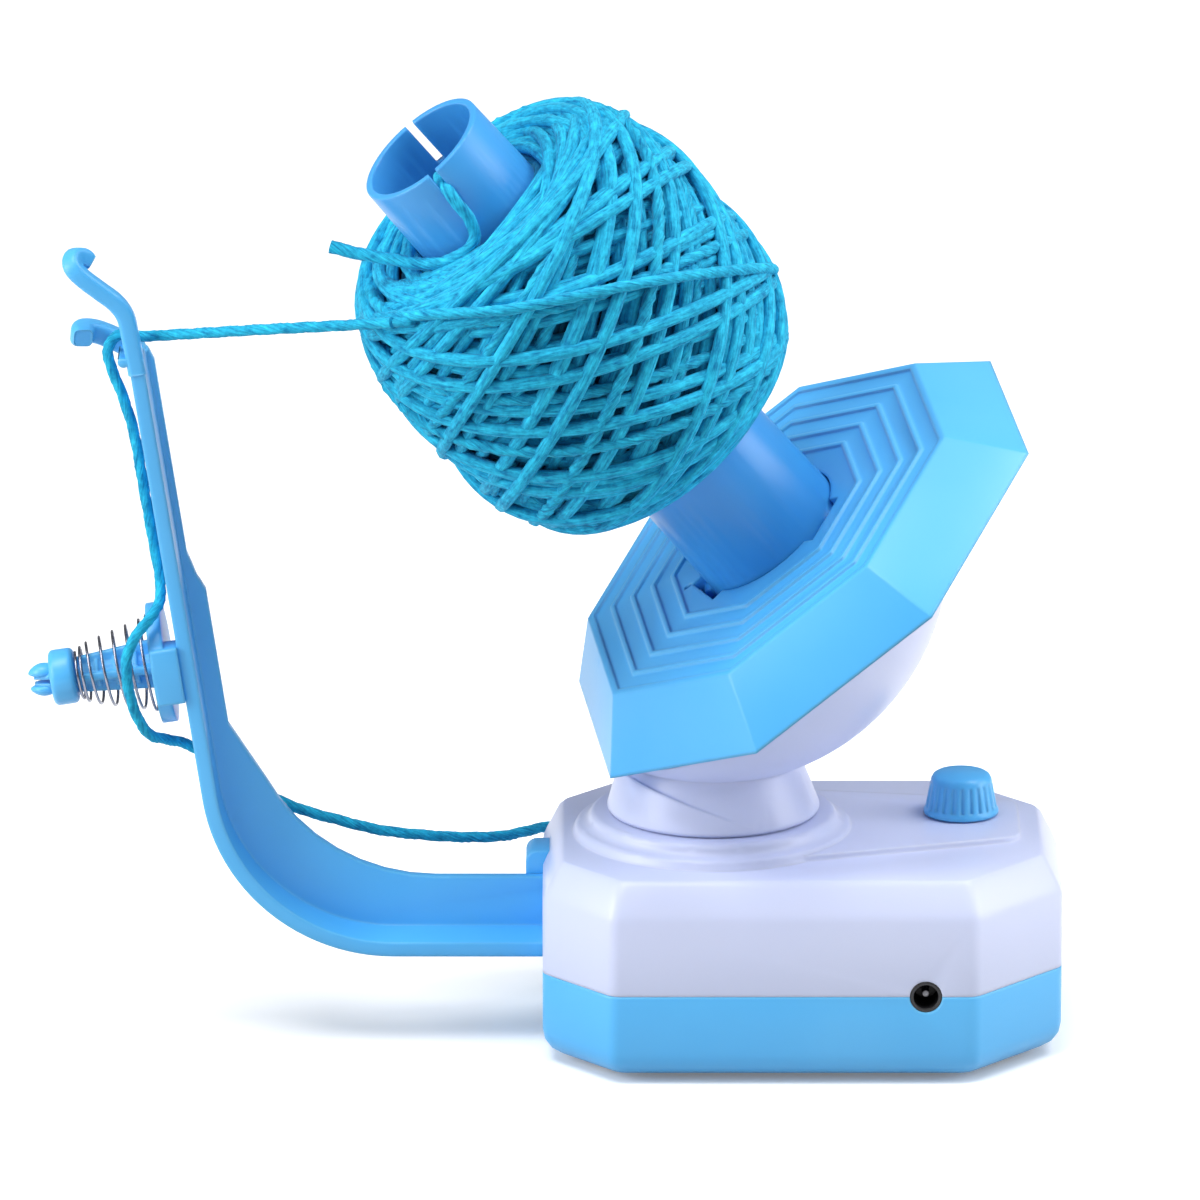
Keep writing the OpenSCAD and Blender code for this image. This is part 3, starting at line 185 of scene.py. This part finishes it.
# Spun yarn: tufts, and fibres that follow the strand's own lay
spinning = {"detail": 3.0, "tuftRough": 0.6, "fibreRough": 0.65, "tuftShare": 0.45, "fibreShare": 0.75,
            "colourRange": (0.4, 0.82), "bump": 0.7, "fibreHeight": 0.5 * mm, "tuftHeight": 0.3,
            "dull": 0.9, "paleShine": 0.25, "shine": 0.3, "sheen": 0.2, "sheenRough": 0.4,
            "sheenTint": (0.35, 0.85, 1.0, 1)}


def spunYarn(name, look):
    f = Finish(name)
    place = f.place()
    lay = place
    if look["laid"]:
        lay = f.node("ShaderNodeAttribute", {"attribute_name": "fibreLay"}, {}, "Vector")
    tuft = f.noise(place, look["tuft"], spinning["detail"], spinning["tuftRough"])
    fibre = f.noise(lay, look["fibre"], spinning["detail"], spinning["fibreRough"])
    share = f.fit(tuft * spinning["tuftShare"] + fibre * spinning["fibreShare"], *spinning["colourRange"])
    colour = f.between(share, look["deep"], look["pale"])
    normal = f.bump(spinning["bump"], spinning["fibreHeight"], fibre + tuft * spinning["tuftHeight"])
    return f.surface(Base_Color=colour, Roughness=spinning["dull"] - share * spinning["paleShine"],
                     Normal=normal, Specular_IOR_Level=spinning["shine"], Sheen_Weight=spinning["sheen"],
                     Sheen_Roughness=spinning["sheenRough"], Sheen_Tint=spinning["sheenTint"])


finishes = {
    "blue_plastic": mouldedPlastic("bluePlastic", {
        "deep": (0.075, 0.455, 0.90), "pale": (0.15, 0.57, 0.98), "cloud": 14, "grain": 2600,
        "edge": 1.3 * mm, "edgeShare": 0.8, "bump": 0.06, "rough": 0.36, "shine": 0.5, "glow": 0.08}),
    # Painted shade: a darker copy of the blue plastic for the tube, standing in for the shade of the ball and tray
    # above it
    "tubeBlue": mouldedPlastic("tubeBlue", {
        "deep": (0.035, 0.31, 0.74), "pale": (0.085, 0.43, 0.88), "cloud": 14, "grain": 2600,
        "edge": 0.9 * mm, "edgeShare": 0.8, "bump": 0.06, "rough": 0.34, "shine": 0.5, "glow": 0.08}),
    "white_plastic": mouldedPlastic("whitePlastic", {
        "deep": (0.61, 0.665, 0.90), "pale": (0.69, 0.745, 0.95), "cloud": 12, "grain": 2400,
        "edge": 1.3 * mm, "edgeShare": 0.7, "bump": 0.06, "rough": 0.34, "shine": 0.5, "glow": 0.08}),
    "rubber": mouldedPlastic("padRubber", {
        "deep": (0.03, 0.03, 0.034), "pale": (0.07, 0.07, 0.075), "cloud": 40, "grain": 1500,
        "edge": 0.4 * mm, "edgeShare": 0.4, "bump": 0.3, "rough": 0.8, "shine": 0.3, "glow": 0.0}),
    "black_plastic": mouldedPlastic("socketBlack", {
        "deep": (0.006, 0.006, 0.008), "pale": (0.03, 0.03, 0.034), "cloud": 60, "grain": 2600,
        "edge": 0.3 * mm, "edgeShare": 0.5, "bump": 0.1, "rough": 0.42, "shine": 0.5, "glow": 0.0}),
    "green_board": mouldedPlastic("boardGreen", {
        "deep": (0.01, 0.10, 0.03), "pale": (0.03, 0.20, 0.07), "cloud": 90, "grain": 1800,
        "edge": 0.3 * mm, "edgeShare": 0.4, "bump": 0.15, "rough": 0.4, "shine": 0.5, "glow": 0.0}),
    "gear_plastic": mouldedPlastic("gearNatural", {
        "deep": (0.72, 0.69, 0.58), "pale": (0.86, 0.84, 0.76), "cloud": 50, "grain": 2200,
        "edge": 0.3 * mm, "edgeShare": 0.5, "bump": 0.1, "rough": 0.45, "shine": 0.4, "glow": 0.05}),
    "steel": drawnMetal("brightSteel", {
        "deep": (0.55, 0.56, 0.60), "pale": (0.86, 0.87, 0.90), "streak": 900, "rough": 0.16}),
    "springSteel": drawnMetal("springSteel", {
        "deep": (0.16, 0.17, 0.22), "pale": (0.38, 0.39, 0.46), "streak": 900, "rough": 0.2}),
    "dullPin": drawnMetal("dullPin", {
        "deep": (0.10, 0.10, 0.11), "pale": (0.30, 0.30, 0.32), "streak": 900, "rough": 0.4}),
    "yarn": spunYarn("spunYarn", {
        "deep": (0.0, 0.165, 0.39), "pale": (0.026, 0.70, 1.0), "tuft": 420, "fibre": 1700, "laid": True}),
    # Painted shade: a darker copy of the yarn for the innermost layer, shaded by the turns over it
    "yarnDeep": spunYarn("yarnDeep", {
        "deep": (0.0, 0.05, 0.15), "pale": (0.012, 0.34, 0.58), "tuft": 420, "fibre": 1700, "laid": True}),
    # Painted shade: a near-black yarn for the ball's heart, showing as shade in the gaps between turns
    "yarnHeart": spunYarn("yarnHeart", {
        "deep": (0.0, 0.03, 0.08), "pale": (0.0, 0.14, 0.27), "tuft": 320, "fibre": 1500, "laid": False}),
}
print("finishes made:", len(finishes))


def wear(piece, finish):
    piece.data.materials.clear()
    piece.data.materials.append(finishes[finish])


def seat(piece, body, finish, slot, *stoodFor):
    wear(piece, finish)
    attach(piece, body)
    if stoodFor:
        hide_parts(*stoodFor)
    return piece


def pick(piece):
    bpy.ops.object.select_all(action="DESELECT")
    piece.select_set(True)
    bpy.context.view_layer.objects.active = piece


def recalculateNormals():
    bpy.ops.mesh.select_all(action="SELECT")
    bpy.ops.mesh.normals_make_consistent(inside=False)


# A closed outline that a curve is swept with
def addProfile(name, outline):
    profile = bpy.data.curves.new(name, "CURVE")
    profile.dimensions = "2D"
    spline = profile.splines.new("POLY")
    spline.points.add(len(outline) - 1)
    spline.use_cyclic_u = True
    for point, place in zip(spline.points, outline):
        point.co = (*place, 0, 1)
    shape = bpy.data.objects.new(name, profile)
    bpy.context.scene.collection.objects.link(shape)
    return shape


# A line to sweep along, with its points, and the mesh that the sweep becomes
def startCurve(name, path, profile=None):
    curve = bpy.data.curves.new(name, "CURVE")
    curve.dimensions = "3D"
    curve.use_fill_caps = True
    if profile:
        curve.bevel_mode = "OBJECT"
        curve.bevel_object = profile
    spline = curve.splines.new("POLY")
    spline.points.add(len(path) - 1)
    for point, place in zip(spline.points, path):
        point.co = (*place, 1)
    return curve, spline.points


def meshFrom(name, curve):
    piece = bpy.data.objects.new(name, curve)
    bpy.context.scene.collection.objects.link(piece)
    pick(piece)
    bpy.ops.object.convert(target="MESH")
    return bpy.context.object


def smoothPath(points, step):
    ends = [points[0] * 2 - points[1], *points, points[-1] * 2 - points[-2]]
    path = []
    for a, b, c, d in zip(ends, ends[1:], ends[2:], ends[3:]):
        count = max(1, round((c - b).length / step))
        for k in range(count):
            t = k / count
            path.append(0.5 * (2 * b + (c - a) * t + (2 * a - 5 * b + 4 * c - d) * t ** 2
                               + (3 * b - a - 3 * c + d) * t ** 3))
    return path + [points[-1]]


def pathLength(path):
    return sum((b - a).length for a, b in zip(path, path[1:]))


# The spindle's own frame, from the joint that the tray spins on
spindleUp = Vector(joints["flyer_spin"]["axis"]).normalized()
spindleAt = Vector(joints["flyer_spin"]["pos_m"])
leanTurn = math.atan2(-spindleUp.y, -spindleUp.x)
spindleSide = Vector((-math.sin(leanTurn), math.cos(leanTurn), 0))
spindleFrame = Matrix((spindleSide.cross(spindleUp), spindleSide, spindleUp)).transposed().to_4x4()
spindleFrame.translation = spindleAt


def onSpindle(radius, turn, height):
    return spindleFrame @ Vector((radius * math.cos(turn), radius * math.sin(turn), height))


# Yarn: a three-ply profile that turns along its line
yarn = {"thick": 3.1 * mm, "plies": 3, "profileSteps": 4, "plyDepth": 0.13, "twistLength": 24 * mm,
        "step": 2.2 * mm, "fibreStretch": 0.12}


def plyOutline():
    count = yarn["plies"] * yarn["profileSteps"]
    outline = []
    for k in range(count):
        turn = 2 * math.pi * k / count
        swell = abs(math.cos(turn * yarn["plies"] / 2))
        reach = yarn["thick"] / 2 * (1 - yarn["plyDepth"] * (1 - swell))
        outline.append((reach * math.cos(turn), reach * math.sin(turn)))
    return outline


plyProfile = addProfile("plyProfile", plyOutline())


def layYarn(name, path, thick=1.0, fray=0.0, frayFrom=0.0):
    curve, points = startCurve(name, path, plyProfile)
    gone = [0]
    for a, b in zip(path, path[1:]):
        gone.append(gone[-1] + (b - a).length)
    for k, point in enumerate(points):
        point.tilt = 2 * math.pi * gone[k] / yarn["twistLength"]
        point.radius = thick + fray * max(0, k / (len(path) - 1) - frayFrom)
    laid = meshFrom(name, curve)
    bpy.ops.object.shade_smooth()
    around = yarn["plies"] * yarn["profileSteps"]
    lay = laid.data.attributes.new("fibreLay", "FLOAT_VECTOR", "POINT")
    for k, point in enumerate(lay.data):
        turn = 2 * math.pi * (k % around) / around
        along = gone[min(k // around, len(gone) - 1)]
        point.vector = (math.cos(turn) * yarn["thick"] / 2, math.sin(turn) * yarn["thick"] / 2,
                        along * yarn["fibreStretch"])
    return laid


# Strand from the ball over the guide, through the tensioner and down behind the base
strandRoute = [(-105.4, -48.6, 203.5), (-121.5, -38.5, 199.9), (-137.7, -28.3, 196.4), (-153.8, -18.2, 192.8),
               (-165, -11.1, 190.3), (-170, -8, 189.2), (-175, -8, 190), (-178.2, -8, 188.4),
               (-179.4, -8, 185), (-178.6, -8, 181), (-175.6, -8, 173), (-172.8, -8, 163), (-170.4, -8, 148),
               (-168.2, -8, 134.5), (-166.4, -9, 123.5), (-167, -12, 118), (-169.6, -15.2, 115),
               (-172.6, -17, 111.4), (-175, -17.6, 106), (-174.8, -17.4, 98), (-172.8, -15, 89.5),
               (-169.6, -9.5, 82.6), (-165.4, -2.5, 79.2), (-160.6, 3.4, 76.2), (-155, 5.4, 72.4),
               (-148, 5.8, 67.2), (-140, 6, 61.8), (-131, 8, 57), (-121, 10, 53.4), (-110, 12, 50),
               (-97, 17, 47), (-87, 22, 45), (-78, 28.4, 43.4), (-71, 36, 42.6), (-65, 43.6, 41.4),
               (-58, 51, 37.6), (-50, 57, 30.4), (-42, 61, 21), (-34, 63.4, 11.4), (-26, 64.6, 4.6),
               (-18, 65, 1.8), (-8, 65, 1.5), (2, 64.4, 1.5), (12, 63, 1.5), (14.6, 62.5, 1.6)]
strandPath = smoothPath([Vector(p) * mm for p in strandRoute], yarn["step"])
strand = layYarn("yarnStrand", strandPath)
seat(strand, "base", "yarn", "yarn", "yarn_strand")

# Overhand knot at its far end, one lobed loop of yarn drawn tight
knot = {"fat": 0.75 * mm, "lobe": 0.7, "rise": 0.8, "points": 48, "thin": 0.62}


def tieKnot():
    low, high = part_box("yarn_knot")
    middle = (low + high) / 2
    path = []
    for k in range(knot["points"]):
        t = 2 * math.pi * k / (knot["points"] - 1)
        path.append(middle + Vector(((math.cos(t) + knot["lobe"] * math.cos(2 * t)) * knot["fat"],
                                     (math.sin(t) - knot["lobe"] * math.sin(2 * t)) * knot["fat"],
                                     -math.sin(3 * t) * knot["fat"] * knot["rise"])))
    return layYarn("yarnKnot", path, knot["thin"])


farKnot = seat(tieKnot(), "base", "yarn", "yarn", "yarn_knot")
pathLength(strandPath)
print("strand laid:", round(pathLength(strandPath), 3), "m")

# Wound ball: a barrel of tilted turns that step round the tube as the drive sets them, over a dark heart that is
# painted shade in the gaps between them
ball = {"height": 60 * mm, "square": 3.2, "ringsInTurn": 120, "step": 18 / 25, "turnsInRound": 25,
        "fat": 1.16, "overRate": 0.382, "overShare": 0.7, "wave": 0.035, "waveRate": 3.7,
        "sways": [(1, 2.39, 9), (0.6, 5.17, 5)],  # share, rate and start of each
        "layers": [
            # The innermost layer wears the darker yarn, painted shade
            {"turns": 46, "reach": 38.2 * mm, "stack": 2.0 * mm, "slope": 62, "sway": 3.4, "start": 0.20,
             "beside": 0.126, "finish": "yarnDeep"},
            {"turns": 31, "reach": 41.2 * mm, "stack": 2.4 * mm, "slope": 58, "sway": 3.6, "start": 0.07,
             "beside": 0.13, "finish": "yarn"},
            {"turns": 22, "reach": 44.2 * mm, "stack": 2.4 * mm, "slope": 52, "sway": 2.6, "start": 0.13,
             "beside": 0.10, "finish": "yarn"},
            {"turns": 14, "reach": 46.8 * mm, "stack": 1.5 * mm, "slope": 47, "sway": 1.8, "start": 0.02,
             "beside": 0.09, "finish": "yarn"}]}
ballAt = onSpindle(0, 0, ball["height"])


def onBall(towards, reach):
    towards = towards.normalized()
    along = abs(towards.dot(spindleUp))
    around = math.sqrt(max(0, 1 - along ** 2))
    fullness = (along ** ball["square"] + around ** ball["square"]) ** (1 / ball["square"])
    return ballAt + towards * reach / fullness


def layerPath(layer):
    path = []
    for k in range(layer["turns"] * ball["ringsInTurn"] + 1):
        turn = k / ball["ringsInTurn"]
        phase = 2 * math.pi * turn
        sway = sum(share * math.sin(turn * rate + start * layer["start"])
                   for share, rate, start in ball["sways"])
        slope = math.radians(layer["slope"] + layer["sway"] * sway)
        creep = 2 * math.pi * (turn * ball["step"] + layer["start"])
        creep += layer["beside"] * turn / ball["turnsInRound"]
        creep += ball["wave"] * math.sin(turn * ball["waveRate"])
        rise = math.asin(math.sin(slope) * math.sin(phase))
        turned = math.atan2(math.cos(slope) * math.sin(phase), math.cos(phase)) + creep
        over = 0.5 - 0.5 * math.cos(2 * math.pi * ball["overRate"] * turn)  # which turn lies over which
        level = ball["overShare"] * over + (1 - ball["overShare"]) * turn / layer["turns"]
        towards = onSpindle(math.cos(rise), turned, math.sin(rise)) - spindleAt
        path.append(onBall(towards, layer["reach"] + layer["stack"] * level))
    return path


def windBall():
    for number, layer in enumerate(ball["layers"], 1):
        wound = layYarn(f"yarnLayer{number}", layerPath(layer), ball["fat"])
        stoodFor = ["yarn_winding"] if number == 1 else []
        seat(wound, "flyer", layer["finish"], "yarn", *stoodFor)


windBall()

# Dark heart, painted shade seen in the gaps between turns: a sphere drawn out to the barrel, cut flat at both ends
# and bridged through for the tube
heart = {"reach": 36.2 * mm, "low": 34.4 * mm, "high": 35 * mm, "segments": 96, "rings": 64}


def addHeart():
    bpy.ops.object.select_all(action="DESELECT")
    bpy.ops.mesh.primitive_uv_sphere_add(segments=heart["segments"], ring_count=heart["rings"], radius=1)
    piece = bpy.context.object
    piece.name = "yarnHeart"
    piece.data.transform(spindleFrame)
    for point in piece.data.vertices:
        point.co = onBall(point.co - spindleAt, heart["reach"])
    bpy.ops.object.mode_set(mode="EDIT")
    for far, side in ((-heart["low"], -1), (heart["high"], 1)):
        bpy.ops.mesh.select_all(action="SELECT")
        bpy.ops.mesh.bisect(plane_co=ballAt + spindleUp * far, plane_no=spindleUp, clear_inner=side < 0,
                            clear_outer=side > 0)
    bpy.ops.mesh.select_all(action="DESELECT")
    bpy.ops.mesh.select_mode(type="EDGE")
    bpy.ops.mesh.select_non_manifold(extend=False)
    bpy.ops.mesh.bridge_edge_loops()
    recalculateNormals()
    bpy.ops.object.mode_set(mode="OBJECT")
    bpy.ops.object.shade_smooth()
    return piece


seat(addHeart(), "flyer", "yarnHeart", "yarn", "yarn_core")

# Newest turn: from the strand's end across the ball's front, as seen from the camera, and round behind it
lead = {"reach": 49.6 * mm, "sink": 1 * mm, "joins": (1.2 * mm, 6 * mm), "deepest": 90 * mm, "tries": 40,
        "seen": [(-50, -1.4), (-40, -0.8), (-29, -0.4), (-17, 0.2), (-6, 2.2), (6, 4.8), (20, 7.6), (30, 9.4),
                 (38.7, 10.6), (46, 11.6), (50.5, 12)],
        "behind": [(54, 12.4, -4), (51, 13, -22), (40, 13, -38), (24, 12, -47)]}


def depthOnBall(flat):
    low, high = 0.0, lead["deepest"]
    for k in range(lead["tries"]):
        deep = (low + high) / 2
        place = flat + towardsCamera * deep
        inside = place.length < (onBall(place, lead["reach"]) - ballAt).length
        low, high = (deep, high) if inside else (low, deep)
    return low


def addLead():
    right = Vector((1, 0, 0))
    upright = towardsCamera.cross(right)
    run = (strandPath[0] - strandPath[1]).normalized()
    points = [strandPath[0] + run * far for far in lead["joins"]]
    for a, b in lead["seen"]:
        flat = (right * a + upright * b) * mm
        points.append(ballAt + flat + towardsCamera * depthOnBall(flat))
    for a, b, c in lead["behind"]:
        towards = right * a + upright * b + towardsCamera * c
        points.append(onBall(towards, lead["reach"] - lead["sink"]))
    return layYarn("yarnLead", smoothPath(points, yarn["step"]))


seat(addLead(), "flyer", "yarn", "yarn")

# Loose end: out of the tube through its front slit, round the tube on top of the ball, and off it
looseEnd = {"step": 1.2 * mm, "thick": 1.1, "fray": 0.5, "frayFrom": 0.85, "places": [
    (7, 100, 104), (3, 120, 111), (5, 250, 115.4), (11, 257, 118), (16.4, 258, 118), (20, 258, 114.4),
    (20.9, 257, 108.5), (21, 252, 103.6), (21.1, 242, 101.8), (21.2, 228, 101.6), (21.4, 214, 102.2),
    (22.4, 200, 104), (24.6, 187, 107.4), (28.4, 176, 111.4), (32, 169, 115), (34.2, 166.6, 117.6)]}


def addEnd():
    points = [onSpindle(r * mm, math.radians(turn), s * mm) for r, turn, s in looseEnd["places"]]
    return layYarn("yarnEnd", smoothPath(points, looseEnd["step"]), looseEnd["thick"], looseEnd["fray"],
                   looseEnd["frayFrom"])


seat(addEnd(), "flyer", "yarn", "yarn")
print("ball wound:", len(ball["layers"]), "layers")

# The tensioner's post, leaning out from the arm
post = {"origin": (-161.06, -2, 100.9), "lean": 8.7}
postLean = math.radians(post["lean"])
postOut = Vector((-math.cos(postLean), 0, -math.sin(postLean)))
postUp = Vector((-math.sin(postLean), 0, math.cos(postLean)))
postSide = Vector((0, 1, 0))

# Conical spring on it; its climb slows at both ends, where the turns lie closed
spring = {"wire": 0.8 * mm, "wireSteps": 3, "turns": 7, "steps": 32, "low": 7.9, "high": 27.5, "wide": 12.8,
          "narrow": 6.0, "climb": [(0, 0), (0.1, 0.045), (0.75, 0.8835), (1, 1)]}


def springClimb(share):
    for (a, low), (b, high) in zip(spring["climb"], spring["climb"][1:]):
        if share <= b:
            return low + (high - low) * (share - a) / (b - a)
    return 1


def addSpring():
    count = spring["turns"] * spring["steps"]
    path = []
    for k in range(count + 1):
        share, turn = k / count, 2 * math.pi * k / spring["steps"]
        far = spring["low"] + (spring["high"] - spring["low"]) * springClimb(share)
        reach = spring["wide"] + (spring["narrow"] - spring["wide"]) * share
        place = (Vector(post["origin"]) + postOut * far + postUp * reach * math.cos(turn)
                 + postSide * reach * math.sin(turn))
        path.append(place * mm)
    curve = startCurve("tensionSpring", path)[0]
    curve.bevel_depth = spring["wire"] / 2
    curve.bevel_resolution = spring["wireSteps"]
    made = meshFrom("tensionSpring", curve)
    bpy.ops.object.shade_smooth()
    return made


seat(addSpring(), "base", "springSteel", "steel", "tension_spring")

# Outer shells: merged copies of the solids, each with its own rounding of edges
shells = {"base_pan": 0.6, "upper_housing": 0.6, "arm_socket": 0.8, "guide_arm": 0.7, "tension_seat": 0.6,
          "tension_cap": 0.4, "speed_knob": 0.3, "turret_shell": 0.5, "turret_cover": 0.4, "flyer_tray": 0.8,
          "winding_tube": 0.4, "power_inlet": 0.3, "inlet_contact": 0.3, "anti_slip_pad": 0.3}
# Own finishes: a dull pin, and for the tube the darker copy of the blue plastic, which is painted shade
ownFinish = {"inlet_contact": "dullPin", "winding_tube": "tubeBlue"}
shellEdges = {"merge": 1e-6, "flat": math.radians(0.4), "sharp": math.radians(32), "segments": 3}
slitTurn = math.radians(-27)
fingerCuts = [((0, 0, 185.3), (0, 0, 1)), ((-176.6, 0, 0), (-1, 0, 0))]


# The arm's copy loses its plain fingers, which get rounded ones
def trimFingers():
    for at, out in fingerCuts:
        bpy.ops.mesh.select_all(action="SELECT")
        bpy.ops.mesh.bisect(plane_co=Vector(at) * mm, plane_no=out, clear_outer=True, use_fill=True)


def copySolid(node):
    piece = nodes[node].copy()
    piece.data = nodes[node].data.copy()
    for key in list(piece.keys()):
        del piece[key]
    piece.parent = None
    first, *others = node.split("_")
    piece.name = first + "".join(word.capitalize() for word in others)
    bpy.context.scene.collection.objects.link(piece)
    return piece


def dressShell(node, width):
    piece = copySolid(node)
    pick(piece)
    bpy.ops.object.mode_set(mode="EDIT")
    bpy.ops.mesh.select_all(action="SELECT")
    bpy.ops.mesh.remove_doubles(threshold=shellEdges["merge"])
    bpy.ops.mesh.dissolve_limited(angle_limit=shellEdges["flat"])
    if node == "guide_arm":
        trimFingers()
    bpy.ops.object.mode_set(mode="OBJECT")
    if node == "winding_tube":
        piece.data.transform(spindleFrame @ Matrix.Rotation(slitTurn, 4, "Z") @ spindleFrame.inverted())
    rounding = piece.modifiers.new("edges", "BEVEL")
    rounding.width = width * mm
    rounding.segments = shellEdges["segments"]
    rounding.limit_method = "ANGLE"
    rounding.angle_limit = shellEdges["sharp"]
    rounding.use_clamp_overlap = True
    bpy.ops.object.modifier_apply(modifier="edges")
    bpy.ops.object.shade_smooth_by_angle(angle=shellEdges["sharp"])
    seat(piece, nodeBody[node], ownFinish.get(node, nodeSlot[node]), nodeSlot[node], node)


for node, width in shells.items():
    dressShell(node, width)

# Guide fingers: rounded bars that bend out from the arm's top and curl towards each other
fingers = {"wide": 4.9 * mm, "deep": 4.6 * mm, "corner": 1.2 * mm, "cornerSteps": 5, "step": 0.7 * mm,
           "sharp": math.radians(50), "tip": (0.82, 0.93, 0.98),
           "swell": {"guideFingerFront": 1.0, "guideFingerBack": 1.2}, "routes": {
               "guideFingerFront": [
                   (-171.6, -14.4, 181), (-172.4, -14.4, 186), (-173.4, -14.4, 191.4), (-174.5, -14.4, 196.2),
                   (-177, -14.4, 199.8), (-181.1, -14.4, 203), (-185.2, -14.4, 206.2), (-187.7, -13.9, 208.8),
                   (-187.7, -11.6, 210.6), (-185.9, -9.6, 210.6), (-183.6, -9, 209)],
               "guideFingerBack": [
                   (-171, -0.6, 182), (-174.4, -0.6, 184.8), (-178.6, -0.6, 187), (-182.4, -0.7, 188.5),
                   (-185.2, -1.8, 189.1), (-186.2, -4.4, 188.9), (-185.7, -7.2, 188.4)]}}


def fingerOutline():
    outline = []
    for quarter, (sx, sy) in enumerate(((1, 1), (-1, 1), (-1, -1), (1, -1))):
        middleX = sx * (fingers["wide"] / 2 - fingers["corner"])
        middleY = sy * (fingers["deep"] / 2 - fingers["corner"])
        for k in range(fingers["cornerSteps"] + 1):
            turn = math.pi / 2 * (quarter + k / fingers["cornerSteps"])
            outline.append((middleX + fingers["corner"] * math.cos(turn),
                            middleY + fingers["corner"] * math.sin(turn)))
    return outline


def addFingers():
    profile = addProfile("fingerProfile", fingerOutline())
    for name, route in fingers["routes"].items():
        path = smoothPath([Vector(p) * mm for p in route], fingers["step"])
        curve, points = startCurve(name, path, profile)
        for left, point in enumerate(list(points)[::-1]):
            narrowing = fingers["tip"][left] if left < len(fingers["tip"]) else 1
            point.radius = fingers["swell"][name] * narrowing
        finger = meshFrom(name, curve)
        bpy.ops.object.shade_smooth_by_angle(angle=fingers["sharp"])
        seat(finger, "base", "blue_plastic", "blue_plastic")
    bpy.data.objects.remove(profile)


addFingers()

# Two lobes on the tensioner's nose, flat where they face and pinched at the tip
lobes = {"along": 36.6, "apart": 2.0, "size": (3.9, 3.0, 2.4), "pinch": 0.3, "flat": 0.45, "segments": 32,
         "rings": 20}


def addLobes():
    turn = Matrix((postOut, postSide, postUp)).transposed().to_4x4()
    size = Matrix.Diagonal((*[r * mm for r in lobes["size"]], 1))
    for name, side in (("capLobeUpper", 1), ("capLobeLower", -1)):
        bpy.ops.object.select_all(action="DESELECT")
        bpy.ops.mesh.primitive_uv_sphere_add(segments=lobes["segments"], ring_count=lobes["rings"], radius=1)
        lobe = bpy.context.object
        lobe.name = name
        for point in lobe.data.vertices:
            x, y, z = point.co
            slim = 1 - lobes["pinch"] * max(0, x) ** 2
            point.co = (x, y * slim, z * slim * (lobes["flat"] if z * side < 0 else 1))
        place = (Vector(post["origin"]) + postOut * lobes["along"] + postUp * side * lobes["apart"]) * mm
        lobe.data.transform(Matrix.Translation(place) @ turn @ size)
        lobe.data.update()
        bpy.ops.object.mode_set(mode="EDIT")
        recalculateNormals()
        bpy.ops.object.mode_set(mode="OBJECT")
        bpy.ops.object.shade_smooth()
        seat(lobe, "base", "blue_plastic", "blue_plastic")


addLobes()
for node, solid in nodes.items():
    wear(solid, nodeSlot[node])
print("shells dressed:", len(shells))

# Floor, a soft sun, lamps on both sides and above, and a pale surround
studio = {"floor": 0.5, "seenFloor": 1.0, "seenGlow": 0.16, "floorSize": 12, "floorDrop": 0.2 * mm,
          "floorRough": 0.9, "world": 0.25, "sun": 1.85, "sunTurn": (14, -14, 0), "sunSoft": 30,
          "aim": (-0.04, 0, 0.12),
          "lamps": [{"place": (-0.95, -0.33, 0.45), "size": 0.6, "power": 6.8},
                    {"place": (1.0, -0.1, 0.45), "size": 0.6, "power": 4.9},
                    {"place": (0.5, -0.06, 0.95), "size": 0.4, "power": 4.4}]}


def addFloor():
    bpy.ops.object.select_all(action="DESELECT")
    bpy.ops.mesh.primitive_plane_add(size=studio["floorSize"], location=(0, 0, -studio["floorDrop"]))
    floor = bpy.context.object
    floor.name = "floor"
    f = Finish("floorPale")
    seen = sum(f.node("ShaderNodeLightPath", {}, {}, ray)
               for ray in ("Is Camera Ray", "Is Glossy Ray", "Is Transmission Ray"))
    colour = f.between(seen, [studio["floor"]] * 3, [studio["seenFloor"]] * 3)
    glow = f.between(seen, (0, 0, 0), [studio["seenGlow"]] * 3)
    floor.data.materials.append(f.surface(Base_Color=colour, Emission_Color=glow, Emission_Strength=1.0,
                                          Roughness=studio["floorRough"], Specular_IOR_Level=0.0))


def addLights():
    world = bpy.data.worlds.new("surround")
    bpy.context.scene.world = world
    world.use_nodes = True
    surround = world.node_tree.nodes["Background"].inputs
    surround["Color"].default_value = (1, 1, 1, 1)
    surround["Strength"].default_value = studio["world"]
    bpy.ops.object.light_add(type="SUN", rotation=[math.radians(a) for a in studio["sunTurn"]])
    bpy.context.object.data.energy = studio["sun"]
    bpy.context.object.data.angle = math.radians(studio["sunSoft"])
    for lamp in studio["lamps"]:
        towards = Vector(studio["aim"]) - Vector(lamp["place"])
        bpy.ops.object.light_add(type="AREA", location=lamp["place"],
                                 rotation=towards.to_track_quat("-Z", "Y").to_euler())
        bpy.context.object.data.size = lamp["size"]
        bpy.context.object.data.energy = lamp["power"]


addFloor()
addLights()
bpy.context.scene.view_settings.view_transform = "Standard"
bpy.data.objects.remove(plyProfile)

print("scene done")
